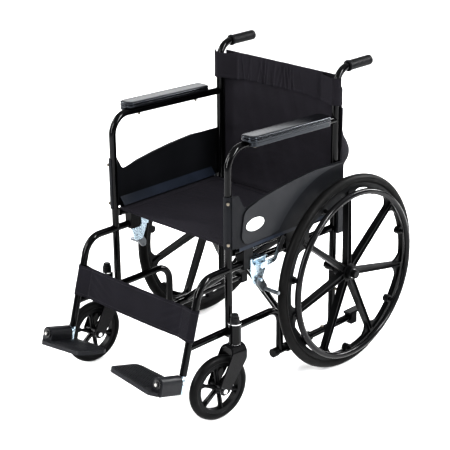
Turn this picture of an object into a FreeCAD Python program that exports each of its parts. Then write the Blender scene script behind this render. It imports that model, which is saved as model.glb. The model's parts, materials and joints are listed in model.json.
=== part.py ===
"""A folding manual wheelchair with mag wheels, as one parametric document in millimetres.

The frame: +X is the sitter's left, the sitter faces -Y, +Z is up. The origin lies on the floor
under the middle of the chair. Every piece of the left half is built at its place, and the right
half is its mirror image. Lengths named ..._back are measured from the rear axle towards +Y, so
whatever stands ahead of the rear axle has a negative one.
"""
import FreeCAD, Part
import math
import os
from FreeCAD import Placement, Rotation, Vector

# Driving dimensions, in millimetres and degrees.
DIMENSIONS = {
    # where the rear axle stands in the frame, and the plane of each side frame
    "axle_y": 230.25,
    "axle_height": 305.0,
    "frame_half": 238.0,
    # the bottom rail is the full tube; each tube that ends on another is a shade slimmer than it
    "tube_radius": 11.0,
    "cane_radius": 10.9,
    "leg_radius": 10.8,
    "lower_radius": 10.7,
    "arm_radius": 10.6,
    # side frame, a welded set of bent tubes
    "cane_back": 4.0,
    "post_back": -452.0,
    "bottom_rail_height": 103.0,
    "bottom_rail_front_back": -258.0,
    "bottom_rail_rear_back": 104.0,
    "lower_tube_height": 245.0,
    "lower_corner_back": -235.0,
    "lower_bend": 50.0,
    "upper_rail_height": 432.0,
    "arm_front_height": 787.0,
    "arm_rear_height": 771.0,
    "arm_bend": 60.0,
    "handle_height": 924.0,
    "handle_bend": 52.0,
    "hanger_corner_back": -563.0,
    "hanger_end_back": -637.0,
    "hanger_end_height": 168.0,
    "hanger_bend": 62.0,
    "axle_boss_radius": 14.0,
    "axle_boss_length": 32.0,
    # push grips
    "grip_radius": 15.5,
    "grip_front_back": 55.0,
    "grip_rear_back": 158.0,
    # rear wheels
    "wheel_plane": 299.0,
    "wheel_radius": 305.0,
    "tyre_section": 15.0,
    "rim_outer": 279.0,
    "rim_inner": 264.0,
    "rim_width": 18.0,
    "web_width": 7.0,
    "hub_radius": 21.0,
    "hub_inner_face": 264.0,
    "hub_outer_face": 324.0,
    "bearing_radius": 14.0,
    "bearing_width": 8.0,
    "wheel_axle_radius": 6.0,
    "running_gap": 0.06,
    "spoke_count": 7.0,
    "spoke_phase": 91.4,
    "spoke_width": 17.0,
    "spoke_depth": 21.0,
    "window_fillet": 45.0,
    "window_tip_fillet": 11.0,
    "handrim_plane": 330.0,
    "handrim_radius": 258.0,
    "handrim_section": 9.5,
    "lug_radius": 6.0,
    # casters
    "stem_offset": 35.5,
    "stem_back": -464.0,
    "stem_radius": 6.0,
    "housing_radius": 18.0,
    "housing_bottom": 221.0,
    "housing_top": 282.0,
    "caster_radius": 99.0,
    "caster_trail": 63.0,
    "caster_section": 13.0,
    "caster_rim_outer": 78.0,
    "caster_rim_inner": 67.0,
    "caster_hub_radius": 14.0,
    "caster_hub_width": 44.0,
    "caster_axle_radius": 4.0,
    "caster_spokes": 6.0,
    "caster_spoke_phase": -22.0,
    "fork_half": 30.0,
    "fork_plate": 5.0,
    "fork_top": 219.0,
    "left_caster_yaw": -8.0,
    "right_caster_yaw": -3.5,
    # folding cross brace, and the seat rails on top of it
    "seat_rail_height": 479.0,
    "seat_rail_front_back": -436.0,
    "seat_rail_rear_back": -24.0,
    "front_brace_back": -140.0,
    "rear_brace_back": -164.0,
    "sleeve_radius": 15.0,
    "sleeve_front_back": -205.0,
    "sleeve_rear_back": -98.0,
    "brace_bolt_radius": 5.0,
    # side panels
    "panel_plane": 252.0,
    "panel_thickness": 4.0,
    "panel_relief": 4.0,
    "arch_radius": 332.0,
    # armrest pads
    "pad_front_back": -394.0,
    "pad_rear_back": -53.0,
    "pad_half_width": 28.0,
    "pad_offset": 12.0,
    "pad_thickness": 19.0,
    # footrests, set square to the sloping hanger tube
    "post_radius": 8.5,
    "barrel_drop": 18.0,
    "barrel_radius": 20.0,
    "barrel_start": 16.0,
    "barrel_end": 95.0,
    "leaf_reach": 172.0,
    "leaf_thickness": 11.0,
    "leaf_droop": -6.0,
    "leaf_drop": 31.0,
    # soft parts
    "sling_thickness": 6.0,
    "back_top": 903.0,
    "back_band_bottom": 817.0,
    "back_bottom": 455.0,
    "back_thickness": 5.0,
    "strap_top": 351.0,
    "strap_bottom": 263.0,
    "strap_thickness": 3.0,
}
DIM = DIMENSIONS

doc = FreeCAD.newDocument("manual_wheelchair")
sheet = doc.addObject("Spreadsheet::Sheet", "Dims")
sheet_row = 0
nodes = {}


def cell(name, value):
    """Write one named plain number into the sheet, and return the formula that reads it."""
    global sheet_row
    sheet_row += 1
    sheet.set(f"A{sheet_row}", name)
    sheet.set(f"B{sheet_row}", repr(float(value)))
    sheet.setAlias(f"B{sheet_row}", name)
    return f"Dims.{name}"


for dimension, number in DIMENSIONS.items():
    cell(dimension, number)
doc.recompute()


# ---------------------------------------------------------------- helpers

def back(name):
    """The Y of a place that the sheet gives as a distance behind the rear axle."""
    return DIM["axle_y"] + DIM[name]


def bind(obj, **formulas):
    """Tie properties of an object to formulas on the sheet."""
    for prop, formula in formulas.items():
        obj.setExpression(prop, formula)
    return obj


def aim(base, direction):
    """A placement that stands at base and points its own Z along direction."""
    return Placement(Vector(*base), Rotation(Vector(0, 0, 1), Vector(*direction)))


def rod(name, start, end, radius):
    """A round bar from start to end; radius is a formula on the sheet."""
    run = Vector(*end) - Vector(*start)
    bar = doc.addObject("Part::Cylinder", name)
    bind(bar, Radius=radius, Height=cell(f"{name}_run", run.Length))
    bar.Placement = aim(start, run)
    return bar


def block(name, low, high):
    """A box between two corners."""
    box = doc.addObject("Part::Box", name)
    spans = [b - a for a, b in zip(low, high)]
    bind(box, Length=cell(f"{name}_wide", spans[0]), Width=cell(f"{name}_deep", spans[1]),
         Height=cell(f"{name}_tall", spans[2]))
    box.Placement = Placement(Vector(*low), Rotation())
    return box


def fuse(name, parts):
    """Weld parts into one solid."""
    whole = doc.addObject("Part::MultiFuse", name)
    whole.Shapes = parts
    whole.Refine = True
    return whole


def cut(name, base, tools):
    """Take tools out of base."""
    tool = tools[0] if len(tools) == 1 else fuse(f"{name}_tools", tools)
    result = doc.addObject("Part::Cut", name)
    result.Base = base
    result.Tool = tool
    return result


def common(name, first, second):
    """What two shapes share."""
    result = doc.addObject("Part::Common", name)
    result.Base = first
    result.Tool = second
    return result


def round_edges(name, base, radius, chosen):
    """Round the edges of base for which chosen(edge) holds."""
    doc.recompute()
    edges = [i for i, edge in enumerate(base.Shape.Edges, 1) if chosen(edge)]
    fillet = doc.addObject("Part::Fillet", name)
    fillet.Base = base
    fillet.Edges = [(i, radius, radius) for i in edges]
    return fillet


def rounded_path(corners, radii, closed):
    """Lines joined by tangent arcs; radii holds one radius for each corner, 0 where it is sharp."""
    points = [Vector(*corner) for corner in corners]
    count = len(points)
    stops = []
    for i, point in enumerate(points):
        if radii[i] == 0 or (not closed and i in (0, count - 1)):
            stops.append((point, None, point))
            continue
        arrive = (points[i - 1] - point).normalize()
        leave = (points[(i + 1) % count] - point).normalize()
        half = arrive.getAngle(leave) / 2
        reach = radii[i] / math.tan(half)
        centre = point + (arrive + leave).normalize() * (radii[i] / math.sin(half))
        middle = centre + (point - centre).normalize() * radii[i]
        stops.append((point + arrive * reach, middle, point + leave * reach))
    curves = []
    for i, (enter, middle, leave) in enumerate(stops):
        if middle is not None:
            curves.append(Part.Arc(enter, middle, leave))
        if i < count - 1 or closed:
            following = stops[(i + 1) % count][0]
            if (following - leave).Length > 1e-6:
                curves.append(Part.LineSegment(leave, following))
    return curves


def bent_bar(name, corners, radii, radius):
    """A round bar swept along straight runs joined by tangent bends."""
    path = doc.addObject("Part::Feature", f"{name}_path")
    path.Shape = Part.Wire([curve.toShape() for curve in rounded_path(corners, radii, False)])
    section = doc.addObject("Part::Circle", f"{name}_section")
    bind(section, Radius=radius)
    section.Placement = aim(corners[0], Vector(*corners[1]) - Vector(*corners[0]))
    bar = doc.addObject("Part::Sweep", name)
    bar.Sections = [section]
    bar.Spine = (path, [f"Edge{i + 1}" for i in range(len(path.Shape.Edges))])
    bar.Solid = True
    bar.Frenet = False
    return bar


def plate(name, corners, radii, along):
    """A flat plate: a closed outline with rounded corners, drawn out along a vector."""
    outline = doc.addObject("Part::Feature", f"{name}_outline")
    curves = rounded_path(corners, radii, True)
    outline.Shape = Part.Face(Part.Wire([curve.toShape() for curve in curves]))
    along = Vector(*along)
    slab = doc.addObject("Part::Extrusion", name)
    slab.Base = outline
    slab.DirMode = "Custom"
    slab.Dir = Vector(along).normalize()
    slab.Solid = True
    bind(slab, LengthFwd=cell(f"{name}_draw", along.Length))
    return slab


def ring(name, centre, axis, inner, outer, width):
    """A plain round ring that starts at centre and runs along axis."""
    far = Vector(*centre) + Vector(*axis).normalize() * width
    beyond = Vector(*axis).normalize() * 1.0
    body = rod(f"{name}_body", centre, far, cell(f"{name}_rim_radius", outer))
    bore = rod(f"{name}_bore", Vector(*centre) - beyond, far + beyond, cell(f"{name}_hole_radius", inner))
    return cut(name, body, [bore])


def group(name, parts):
    """Separate solids that share one node."""
    together = doc.addObject("Part::Compound", name)
    together.Links = parts
    return together


def node(name, obj):
    """Name a finished sub-part."""
    obj.Label = name
    nodes[name] = obj
    return obj


def both_sides(name, obj, mirrored=None):
    """Name the left sub-part, and add its mirror image as the right one."""
    node(f"left_{name}", obj)
    image = doc.addObject("Part::Mirroring", f"right_{name}")
    image.Source = mirrored or obj
    image.Normal = Vector(1, 0, 0)
    image.Base = Vector(0, 0, 0)
    node(f"right_{name}", image)


def sketch_on(body, name, role, offset, curves):
    """A sketch of curves on one of the body's own origin planes, moved out by offset."""
    sketch = body.newObject("Sketcher::SketchObject", name)
    plane = next(f for f in body.Origin.OriginFeatures if f.Role == role)
    sketch.AttachmentSupport = [(plane, "")]
    sketch.MapMode = "FlatFace"
    sketch.AttachmentOffset = Placement(Vector(0, 0, offset), Rotation())
    sketch.addGeometry(curves, False)
    return sketch


def closed_lines(points):
    """Straight sides of a closed outline in a sketch's own plane."""
    ends = [Vector(x, y, 0) for x, y in points]
    return [Part.LineSegment(a, b) for a, b in zip(ends, ends[1:] + ends[:1])]


# ---------------------------------------------------------------- places worked out from the sheet

X_FRAME = DIM["frame_half"]
X_STEM = DIM["frame_half"] + DIM["stem_offset"]
Y_AXLE = DIM["axle_y"]
Y_CANE = back("cane_back")
Y_POST = back("post_back")
Z_AXLE = DIM["axle_height"]
HANGER_RUN = Vector(0, DIM["hanger_end_back"] - DIM["hanger_corner_back"],
                    DIM["hanger_end_height"] - DIM["upper_rail_height"]).normalize()
HANGER_UP = HANGER_RUN * -1
FOOT_FORWARD = HANGER_RUN.cross(Vector(1, 0, 0))
HANGER_END = Vector(X_FRAME, back("hanger_end_back"), DIM["hanger_end_height"])
ARM_SLOPE = math.degrees(math.atan2(DIM["arm_rear_height"] - DIM["arm_front_height"], Y_CANE - Y_POST))


def on_hanger(height):
    """The point of the left hanger tube's axis at a height."""
    return HANGER_END + HANGER_RUN * ((DIM["hanger_end_height"] - height) / -HANGER_RUN.z)


def arm_height(y):
    """The height of the armrest tube's axis at a place along it."""
    return DIM["arm_front_height"] + (y - Y_POST) * math.tan(math.radians(ARM_SLOPE))


def foot_point(x, forward, up):
    """A point given square to the hanger tube, from that tube's lower end."""
    return HANGER_END + Vector(x - X_FRAME, 0, 0) + FOOT_FORWARD * forward + HANGER_UP * up


# ---------------------------------------------------------------- side frame

def side_frame():
    """The welded side frame: six bent tubes, the caster housing and the axle boss."""
    z_low = DIM["bottom_rail_height"]
    z_handle = DIM["handle_height"]
    y_corner = back("lower_corner_back")
    lower_start = on_hanger(DIM["lower_tube_height"])
    arm = bent_bar("arm_tube", [(X_FRAME, Y_POST, DIM["lower_tube_height"]),
                                (X_FRAME, Y_POST, DIM["arm_front_height"]),
                                (X_FRAME, Y_CANE, DIM["arm_rear_height"])],
                   [0, DIM["arm_bend"], 0], "Dims.arm_radius")
    cane = bent_bar("cane", [(X_FRAME, Y_CANE, z_low),
                             (X_FRAME, Y_CANE, z_handle),
                             (X_FRAME, back("grip_rear_back") - 4, z_handle)],
                    [0, DIM["handle_bend"], 0], "Dims.cane_radius")
    leg = bent_bar("leg_tube", [(X_FRAME, Y_CANE, DIM["upper_rail_height"]),
                                (X_FRAME, back("hanger_corner_back"), DIM["upper_rail_height"]),
                                tuple(HANGER_END)],
                   [0, DIM["hanger_bend"], 0], "Dims.leg_radius")
    lower = bent_bar("lower_tube", [tuple(lower_start),
                                    (X_FRAME, y_corner, DIM["lower_tube_height"]),
                                    (X_FRAME, y_corner, z_low)],
                     [0, DIM["lower_bend"], 0], "Dims.lower_radius")
    bottom = rod("bottom_rail", (X_FRAME, back("bottom_rail_front_back"), z_low),
                 (X_FRAME, back("bottom_rail_rear_back"), z_low), "Dims.tube_radius")
    housing = rod("caster_housing", (X_STEM, back("stem_back"), DIM["housing_bottom"]),
                  (X_STEM, back("stem_back"), DIM["housing_top"]), "Dims.housing_radius")
    gusset_half = DIM["tube_radius"] - 1
    gusset = block("housing_gusset",
                   (X_FRAME, back("stem_back") - gusset_half, DIM["lower_tube_height"] - gusset_half),
                   (X_STEM - 4, back("stem_back") + gusset_half, DIM["lower_tube_height"] + gusset_half))
    boss_start = X_FRAME - DIM["axle_boss_length"] / 2
    boss = rod("axle_boss", (boss_start, Y_AXLE, Z_AXLE),
               (boss_start + DIM["axle_boss_length"], Y_AXLE, Z_AXLE), "Dims.axle_boss_radius")
    welded = fuse("side_weldment", [arm, cane, leg, lower, bottom, housing, gusset, boss])
    stem_bore = rod("stem_bore", (X_STEM, back("stem_back"), DIM["housing_bottom"] - 1),
                    (X_STEM, back("stem_back"), DIM["housing_top"] + 1),
                    cell("stem_bore_radius", DIM["housing_radius"] - 4))
    axle_bore = rod("axle_bore", (boss_start - 1, Y_AXLE, Z_AXLE),
                    (boss_start + DIM["axle_boss_length"] + 1, Y_AXLE, Z_AXLE),
                    "Dims.wheel_axle_radius")
    post_bore = rod("post_bore", HANGER_END + HANGER_RUN, HANGER_END - HANGER_RUN * 121,
                    "Dims.post_radius + Dims.running_gap")
    both_sides("side_frame", cut("left_side_frame", welded, [stem_bore, axle_bore, post_bore]))


def rail_ends():
    """The round cap on the front of the bottom rail, and the tipping block on its rear."""
    z_low = DIM["bottom_rail_height"]
    gap = DIM["running_gap"]
    front = back("bottom_rail_front_back")
    cap = rod("rail_cap_body", (X_FRAME, front - 8, z_low), (X_FRAME, front + 10, z_low),
              cell("rail_cap_radius", DIM["tube_radius"] + 2.5))
    cap_bore = rod("rail_cap_bore", (X_FRAME, front, z_low), (X_FRAME, front + 11, z_low),
                   cell("rail_socket_radius", DIM["tube_radius"] + gap))
    rear = back("bottom_rail_rear_back")
    tip = block("tip_block_body", (X_FRAME - 14, rear - 16, z_low - 20),
                (X_FRAME + 14, rear + 10, z_low + 14))
    step = block("tip_block_step", (X_FRAME - 13, rear - 24, z_low + 13),
                 (X_FRAME + 13, rear + 34, z_low + 20))
    tip_body = fuse("tip_block_fused", [tip, step])
    tip_bore = rod("tip_block_bore", (X_FRAME, rear - 23, z_low), (X_FRAME, rear, z_low),
                   "Dims.rail_socket_radius")
    both_sides("rail_end_caps", group("left_rail_end_caps", [cut("rail_cap", cap, [cap_bore]),
                                                              cut("tip_block", tip_body, [tip_bore])]))


def push_grip():
    """The ribbed rubber grip on the handle, with a collar at its front."""
    z = DIM["handle_height"]
    front = back("grip_front_back")
    rear = back("grip_rear_back")
    parts = [rod("grip_core", (X_FRAME, front, z), (X_FRAME, rear, z),
                 cell("grip_core_radius", DIM["grip_radius"] - 1.2)),
             rod("grip_collar", (X_FRAME, front, z), (X_FRAME, front + 6, z),
                 cell("grip_collar_radius", DIM["grip_radius"] + 1.6)),
             rod("grip_end", (X_FRAME, rear - 8, z), (X_FRAME, rear, z), "Dims.grip_radius")]
    rib_count = 9
    rib_pitch = (rear - front - 24) / rib_count
    for i in range(rib_count):
        start = front + 10 + i * rib_pitch
        parts.append(rod(f"grip_rib_{i}", (X_FRAME, start, z), (X_FRAME, start + rib_pitch * 0.6, z),
                         "Dims.grip_radius"))
    bore = rod("grip_bore", (X_FRAME, front - 1, z), (X_FRAME, rear - 4, z),
               "Dims.tube_radius + Dims.running_gap")
    both_sides("push_grip", cut("left_push_grip", fuse("grip_whole", parts), [bore]))


# ---------------------------------------------------------------- rear wheel

def window_outline():
    """One opening of the rear wheel: between two spokes, with wide rounds against the rim."""
    centre_y, centre_z = Y_AXLE, Z_AXLE
    pitch = 2 * math.pi / DIM["spoke_count"]
    side = DIM["spoke_width"] / 2 - 2
    outer = DIM["rim_inner"] - 1
    wide = DIM["window_fillet"]
    tip = DIM["window_tip_fillet"]
    start = math.radians(DIM["spoke_phase"])

    def along(distance, offset, mirrored):
        """A point beside one of the two spokes: distance out along it, offset from its middle."""
        turn = math.atan2(offset, distance)
        angle = start + (pitch - turn if mirrored else turn)
        radius = math.hypot(distance, offset)
        return Vector(centre_y + radius * math.cos(angle), centre_z + radius * math.sin(angle), 0)

    def polar(radius, angle):
        return Vector(centre_y + radius * math.cos(start + angle),
                      centre_z + radius * math.sin(start + angle), 0)

    round_out = math.sqrt((outer - wide) ** 2 - (side + wide) ** 2)
    round_turn = math.atan2(side + wide, round_out)
    tip_centre = (side + tip) / math.sin(pitch / 2)
    tip_reach = tip_centre * math.cos(pitch / 2)
    corner = [along(round_out, side, False), polar(outer, round_turn)]
    bisect = (along(round_out, side, False) + polar(outer, round_turn)) * 0.5
    round_centre = along(round_out, side + wide, False)
    corner_middle = round_centre + (bisect - round_centre).normalize() * wide
    far = [polar(outer, pitch - round_turn), along(round_out, side, True)]
    far_bisect = (far[0] + far[1]) * 0.5
    far_centre = along(round_out, side + wide, True)
    far_middle = far_centre + (far_bisect - far_centre).normalize() * wide
    return [Part.LineSegment(along(tip_reach, side, False), corner[0]),
            Part.Arc(corner[0], corner_middle, corner[1]),
            Part.Arc(corner[1], polar(outer, pitch / 2), far[0]),
            Part.Arc(far[0], far_middle, far[1]),
            Part.LineSegment(far[1], along(tip_reach, side, True)),
            Part.Arc(along(tip_reach, side, True), polar(tip_centre - tip, pitch / 2),
                     along(tip_reach, side, False))]


def wheel_revolution(body, name, profile):
    """Turn a half section, given as (x, radius) points, about the rear axle."""
    outline = closed_lines([(x, Z_AXLE + r) for x, r in profile])
    sketch = sketch_on(body, f"{name}_section", "XZ_Plane", -Y_AXLE, outline)
    axle = Part.LineSegment(Vector(0, Z_AXLE, 0), Vector(1, Z_AXLE, 0))
    sketch.addGeometry(axle, True)
    turned = body.newObject("PartDesign::Revolution", name)
    turned.Profile = sketch
    turned.ReferenceAxis = (sketch, ["Axis0"])
    turned.Angle = 360.0
    return turned


def mag_wheel():
    """The moulded wheel: rim, web with seven windows, seven boxed spokes and the hub."""
    x_mid = DIM["wheel_plane"]
    half_rim = DIM["rim_width"] / 2
    half_web = DIM["web_width"] / 2
    body = doc.addObject("PartDesign::Body", "left_wheel")
    profile = [(x_mid - half_rim, DIM["rim_outer"]), (x_mid - half_rim, DIM["rim_inner"]),
               (x_mid - half_web, DIM["rim_inner"]), (x_mid - half_web, DIM["hub_radius"]),
               (DIM["hub_inner_face"], DIM["hub_radius"]), (DIM["hub_inner_face"], DIM["bearing_radius"]),
               (DIM["hub_outer_face"], DIM["bearing_radius"]), (DIM["hub_outer_face"], DIM["hub_radius"]),
               (x_mid + half_web, DIM["hub_radius"]), (x_mid + half_web, DIM["rim_inner"]),
               (x_mid + half_rim, DIM["rim_inner"]), (x_mid + half_rim, DIM["rim_outer"])]
    wheel_revolution(body, "wheel_disc", profile)
    doc.recompute()
    window = sketch_on(body, "window_outline", "YZ_Plane", x_mid - DIM["web_width"], window_outline())
    centre = sketch_on(body, "wheel_centre", "YZ_Plane", 0,
                       [Part.Circle(Vector(Y_AXLE, Z_AXLE, 0), Vector(0, 0, 1), 1.0)])
    centre.AttachmentOffset = Placement(Vector(Y_AXLE, Z_AXLE, 0), Rotation())
    pocket = body.newObject("PartDesign::Pocket", "window")
    pocket.Profile = window
    pocket.Reversed = True
    bind(pocket, Length="Dims.web_width * 2")
    doc.recompute()
    windows = body.newObject("PartDesign::PolarPattern", "windows")
    windows.Originals = [pocket]
    windows.Axis = (centre, ["N_Axis"])
    windows.Angle = 360.0
    bind(windows, Occurrences="Dims.spoke_count")
    body.Tip = windows
    doc.recompute()
    spokes = []
    depth = DIM["spoke_depth"] / 2
    for i in range(int(DIM["spoke_count"])):
        spokes.append(wheel_spoke(i, x_mid - depth))
    for i in range(int(DIM["spoke_count"])):
        y, z = handrim_mount(i)
        spokes.append(rod(f"handrim_lug_{i}", (x_mid - half_rim + 1, y, z), (x_mid + half_rim, y, z),
                          "Dims.lug_radius * 2"))
    whole = fuse("wheel_with_spokes", [body] + spokes)
    bore = rod("hub_clearance", (DIM["hub_inner_face"] - 1, Y_AXLE, Z_AXLE),
               (DIM["hub_outer_face"] + 1, Y_AXLE, Z_AXLE), "Dims.bearing_radius")
    both_sides("mag_wheel", cut("left_mag_wheel", whole, [bore]))


def handrim_mount(index):
    """Where a lug on the rim carries the push ring, in the middle of a window."""
    angle = math.radians(DIM["spoke_phase"] + (index + 0.5) * 360 / DIM["spoke_count"])
    reach = DIM["handrim_radius"] - 1
    return Y_AXLE + reach * math.cos(angle), Z_AXLE + reach * math.sin(angle)


def wheel_spoke(index, x_start):
    """One spoke: a box that narrows towards the rim, with a channel down its outer face."""
    angle = math.radians(DIM["spoke_phase"] + index * 360 / DIM["spoke_count"])
    out = Vector(0, math.cos(angle), math.sin(angle))
    side = Vector(0, -math.sin(angle), math.cos(angle))
    centre = Vector(x_start, Y_AXLE, Z_AXLE)
    start = DIM["bearing_radius"] + 2
    end = DIM["rim_inner"] + 1
    at_hub = DIM["spoke_width"] / 2 + 1.5
    at_rim = DIM["spoke_width"] / 2 - 2
    corners = [centre + out * start - side * at_hub, centre + out * end - side * at_rim,
               centre + out * end + side * at_rim, centre + out * start + side * at_hub]
    spoke = plate(f"spoke_{index}", [tuple(c) for c in corners], [0] * 4, (DIM["spoke_depth"], 0, 0))
    wall = 3.2
    inset = [centre + out * (DIM["hub_radius"] + 8) - side * (at_hub - wall),
             centre + out * (end - 8) - side * (at_rim - wall),
             centre + out * (end - 8) + side * (at_rim - wall),
             centre + out * (DIM["hub_radius"] + 8) + side * (at_hub - wall)]
    lift = Vector(DIM["spoke_depth"] - 5, 0, 0)
    channel = plate(f"channel_{index}", [tuple(c + lift) for c in inset], [0] * 4, (6, 0, 0))
    return cut(f"spoke_channelled_{index}", spoke, [channel])


def tyre(name, centre, radius, section, seat):
    """A solid tyre: a round bead on the rim's seat, turned about the X axis through centre."""
    bead = doc.addObject("Part::Torus", f"{name}_bead")
    bind(bead, Radius1=f"{radius} - {section}", Radius2=section)
    bead.Placement = aim(centre, (1, 0, 0))
    reach = Vector(30, 0, 0)
    inside = rod(f"{name}_seat", Vector(*centre) - reach, Vector(*centre) + reach, seat)
    return cut(name, bead, [inside])


def handrim():
    """The push ring, with a stub to the rim in the middle of every window."""
    circle = doc.addObject("Part::Torus", "handrim_ring")
    bind(circle, Radius1="Dims.handrim_radius", Radius2="Dims.handrim_section")
    circle.Placement = aim((DIM["handrim_plane"], Y_AXLE, Z_AXLE), (1, 0, 0))
    parts = [circle]
    rim_face = DIM["wheel_plane"] + DIM["rim_width"] / 2 + 0.02
    for i in range(int(DIM["spoke_count"])):
        y, z = handrim_mount(i)
        parts.append(rod(f"handrim_stub_{i}", (rim_face, y, z), (DIM["handrim_plane"], y, z),
                         "Dims.lug_radius"))
    both_sides("handrim", fuse("left_handrim", parts))


def wheel_fittings():
    """The two hub bearings, and the axle bolt with its head, spacers, nut and cap."""
    inner, outer = DIM["hub_inner_face"], DIM["hub_outer_face"]
    width = DIM["bearing_width"]
    race = DIM["bearing_radius"]
    bore = DIM["wheel_axle_radius"] + DIM["running_gap"]
    bearings = [ring("wheel_bearing_inner", (inner, Y_AXLE, Z_AXLE), (1, 0, 0), bore, race, width),
                ring("wheel_bearing_outer", (outer - width, Y_AXLE, Z_AXLE), (1, 0, 0), bore, race, width)]
    both_sides("wheel_bearings", group("left_wheel_bearings", bearings))
    boss_inner = X_FRAME - DIM["axle_boss_length"] / 2
    boss_outer = X_FRAME + DIM["axle_boss_length"] / 2
    shank = rod("axle_shank", (boss_inner - 6, Y_AXLE, Z_AXLE), (outer + 8, Y_AXLE, Z_AXLE),
                "Dims.wheel_axle_radius")
    head = doc.addObject("Part::Prism", "axle_head")
    head.Polygon = 6
    bind(head, Circumradius=cell("axle_head_radius", 11.0), Height=cell("axle_head_height", 8.0))
    head.Placement = aim((boss_inner - 8.02, Y_AXLE, Z_AXLE), (1, 0, 0))
    spacer = rod("axle_spacer", (boss_outer + 0.02, Y_AXLE, Z_AXLE), (inner - 0.3, Y_AXLE, Z_AXLE),
                 cell("axle_spacer_radius", 9.0))
    cap = rod("axle_cap", (outer + 0.4, Y_AXLE, Z_AXLE), (outer + 15, Y_AXLE, Z_AXLE),
              cell("axle_cap_radius", 13.0))
    rounded = round_edges("axle_cap_rounded", cap, 3.0,
                          lambda e: e.BoundBox.XMin > outer + 14 and len(e.Vertexes) < 2)
    both_sides("wheel_axle", fuse("left_wheel_axle", [shank, head, spacer, rounded]))


def rear_wheel():
    """Everything that turns on the rear axle."""
    mag_wheel()
    centre = (DIM["wheel_plane"], Y_AXLE, Z_AXLE)
    both_sides("tyre", tyre("left_tyre", centre, "Dims.wheel_radius", "Dims.tyre_section",
                            cell("tyre_seat_radius", DIM["rim_outer"] + 0.02)))
    handrim()
    wheel_fittings()


# ---------------------------------------------------------------- casters

def caster_parts():
    """The caster's pieces, straight ahead of their stem: fork, wheel, tyre and axle bolt."""
    y_stem = back("stem_back")
    y_axle = y_stem - DIM["caster_trail"]
    z_axle = DIM["caster_radius"]
    centre = Vector(X_STEM, y_axle, z_axle)
    half = DIM["fork_half"]
    inner = half - DIM["fork_plate"]
    top = DIM["fork_top"]
    # pressed fork: an upside-down U seen from the front, trimmed to a leaning arm from the side
    front = y_axle - 30
    arch = plate("fork_arch", [(X_STEM - half, front, 60), (X_STEM + half, front, 60),
                               (X_STEM + half, front, top), (X_STEM - half, front, top)],
                 [0, 0, 22, 22], (0, 130, 0))
    hollow = plate("fork_hollow", [(X_STEM - inner, front - 1, 59), (X_STEM + inner, front - 1, 59),
                                   (X_STEM + inner, front - 1, top - 7), (X_STEM - inner, front - 1, top - 7)],
                   [0, 0, 16, 16], (0, 132, 0))
    shell = cut("fork_shell", arch, [hollow])
    side = plate("fork_side", [(X_STEM - 40, y_axle - 16, z_axle + 4), (X_STEM - 40, y_axle - 6, z_axle - 17),
                               (X_STEM - 40, y_axle + 17, z_axle - 13), (X_STEM - 40, y_stem + 20, top - 42),
                               (X_STEM - 40, y_stem + 21, top + 1), (X_STEM - 40, y_stem - 21, top + 1),
                               (X_STEM - 40, y_stem - 36, top - 30)],
                 [14, 14, 14, 20, 0, 0, 16], (80, 0, 0))
    arms = common("fork_arms", shell, side)
    stem = rod("fork_stem", (X_STEM, y_stem, top - 7), (X_STEM, y_stem, DIM["housing_top"] + 14),
               "Dims.stem_radius")
    seat = rod("fork_seat", (X_STEM, y_stem, top - 4), (X_STEM, y_stem, DIM["housing_bottom"] - 0.5),
               cell("fork_seat_radius", 14.0))
    axle_bore = rod("fork_axle_bore", centre - Vector(40, 0, 0), centre + Vector(40, 0, 0),
                    "Dims.caster_axle_radius + Dims.running_gap")
    fork = cut("caster_fork_straight", fuse("fork_whole", [arms, stem, seat]), [axle_bore])

    wheel = caster_wheel(centre)
    rubber = tyre("caster_tyre_straight", tuple(centre), "Dims.caster_radius", "Dims.caster_section",
                  cell("caster_seat_radius", DIM["caster_rim_outer"] + 0.02))
    bolt = rod("caster_bolt", centre - Vector(half + 2, 0, 0), centre + Vector(half + 2, 0, 0),
               "Dims.caster_axle_radius")
    ends = [bolt]
    for side_name, sign in (("outer", 1), ("inner", -1)):
        start = centre + Vector(sign * (half + 0.02), 0, 0)
        ends.append(rod(f"caster_bolt_{side_name}", start, start + Vector(sign * 7, 0, 0),
                        cell(f"caster_bolt_{side_name}_head", 7.0)))
    axle = fuse("caster_axle_straight", ends)
    return {"caster_fork": fork, "caster_wheel": wheel, "caster_tyre": rubber, "caster_axle": axle}


def caster_wheel(centre):
    """The small moulded wheel: rim, six ribbed spokes with a thin web, and hub."""
    along = Vector(1, 0, 0)
    half_rim = 10.0
    rim = ring("caster_rim", centre - along * half_rim, along, DIM["caster_rim_inner"],
               DIM["caster_rim_outer"], 2 * half_rim)
    half_hub = DIM["caster_hub_width"] / 2
    hub = rod("caster_hub", centre - along * half_hub, centre + along * half_hub, "Dims.caster_hub_radius")
    parts = [rim, hub]
    for i in range(int(DIM["caster_spokes"])):
        angle = math.radians(DIM["caster_spoke_phase"] + i * 360 / DIM["caster_spokes"])
        out = Vector(0, math.cos(angle), math.sin(angle))
        side = Vector(0, -math.sin(angle), math.cos(angle))
        web = [centre + out * 8 - side * 7, centre + out * 50 - side * 4, centre + out * 69 - side * 13,
               centre + out * 69 + side * 13, centre + out * 50 + side * 4, centre + out * 8 + side * 7]
        parts.append(plate(f"caster_web_{i}", [tuple(c - along * 2.5) for c in web], [0] * 6, (5, 0, 0)))
        rib = [centre + out * 8 - side * 2.2, centre + out * 68.5 - side * 2.2,
               centre + out * 68.5 + side * 2.2, centre + out * 8 + side * 2.2]
        parts.append(plate(f"caster_rib_{i}", [tuple(c - along * 9) for c in rib], [0] * 4, (18, 0, 0)))
    bore = rod("caster_hub_bore", centre - along * 40, centre + along * 40,
               "Dims.caster_axle_radius + Dims.running_gap")
    return cut("caster_wheel_straight", fuse("caster_wheel_whole", parts), [bore])


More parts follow.
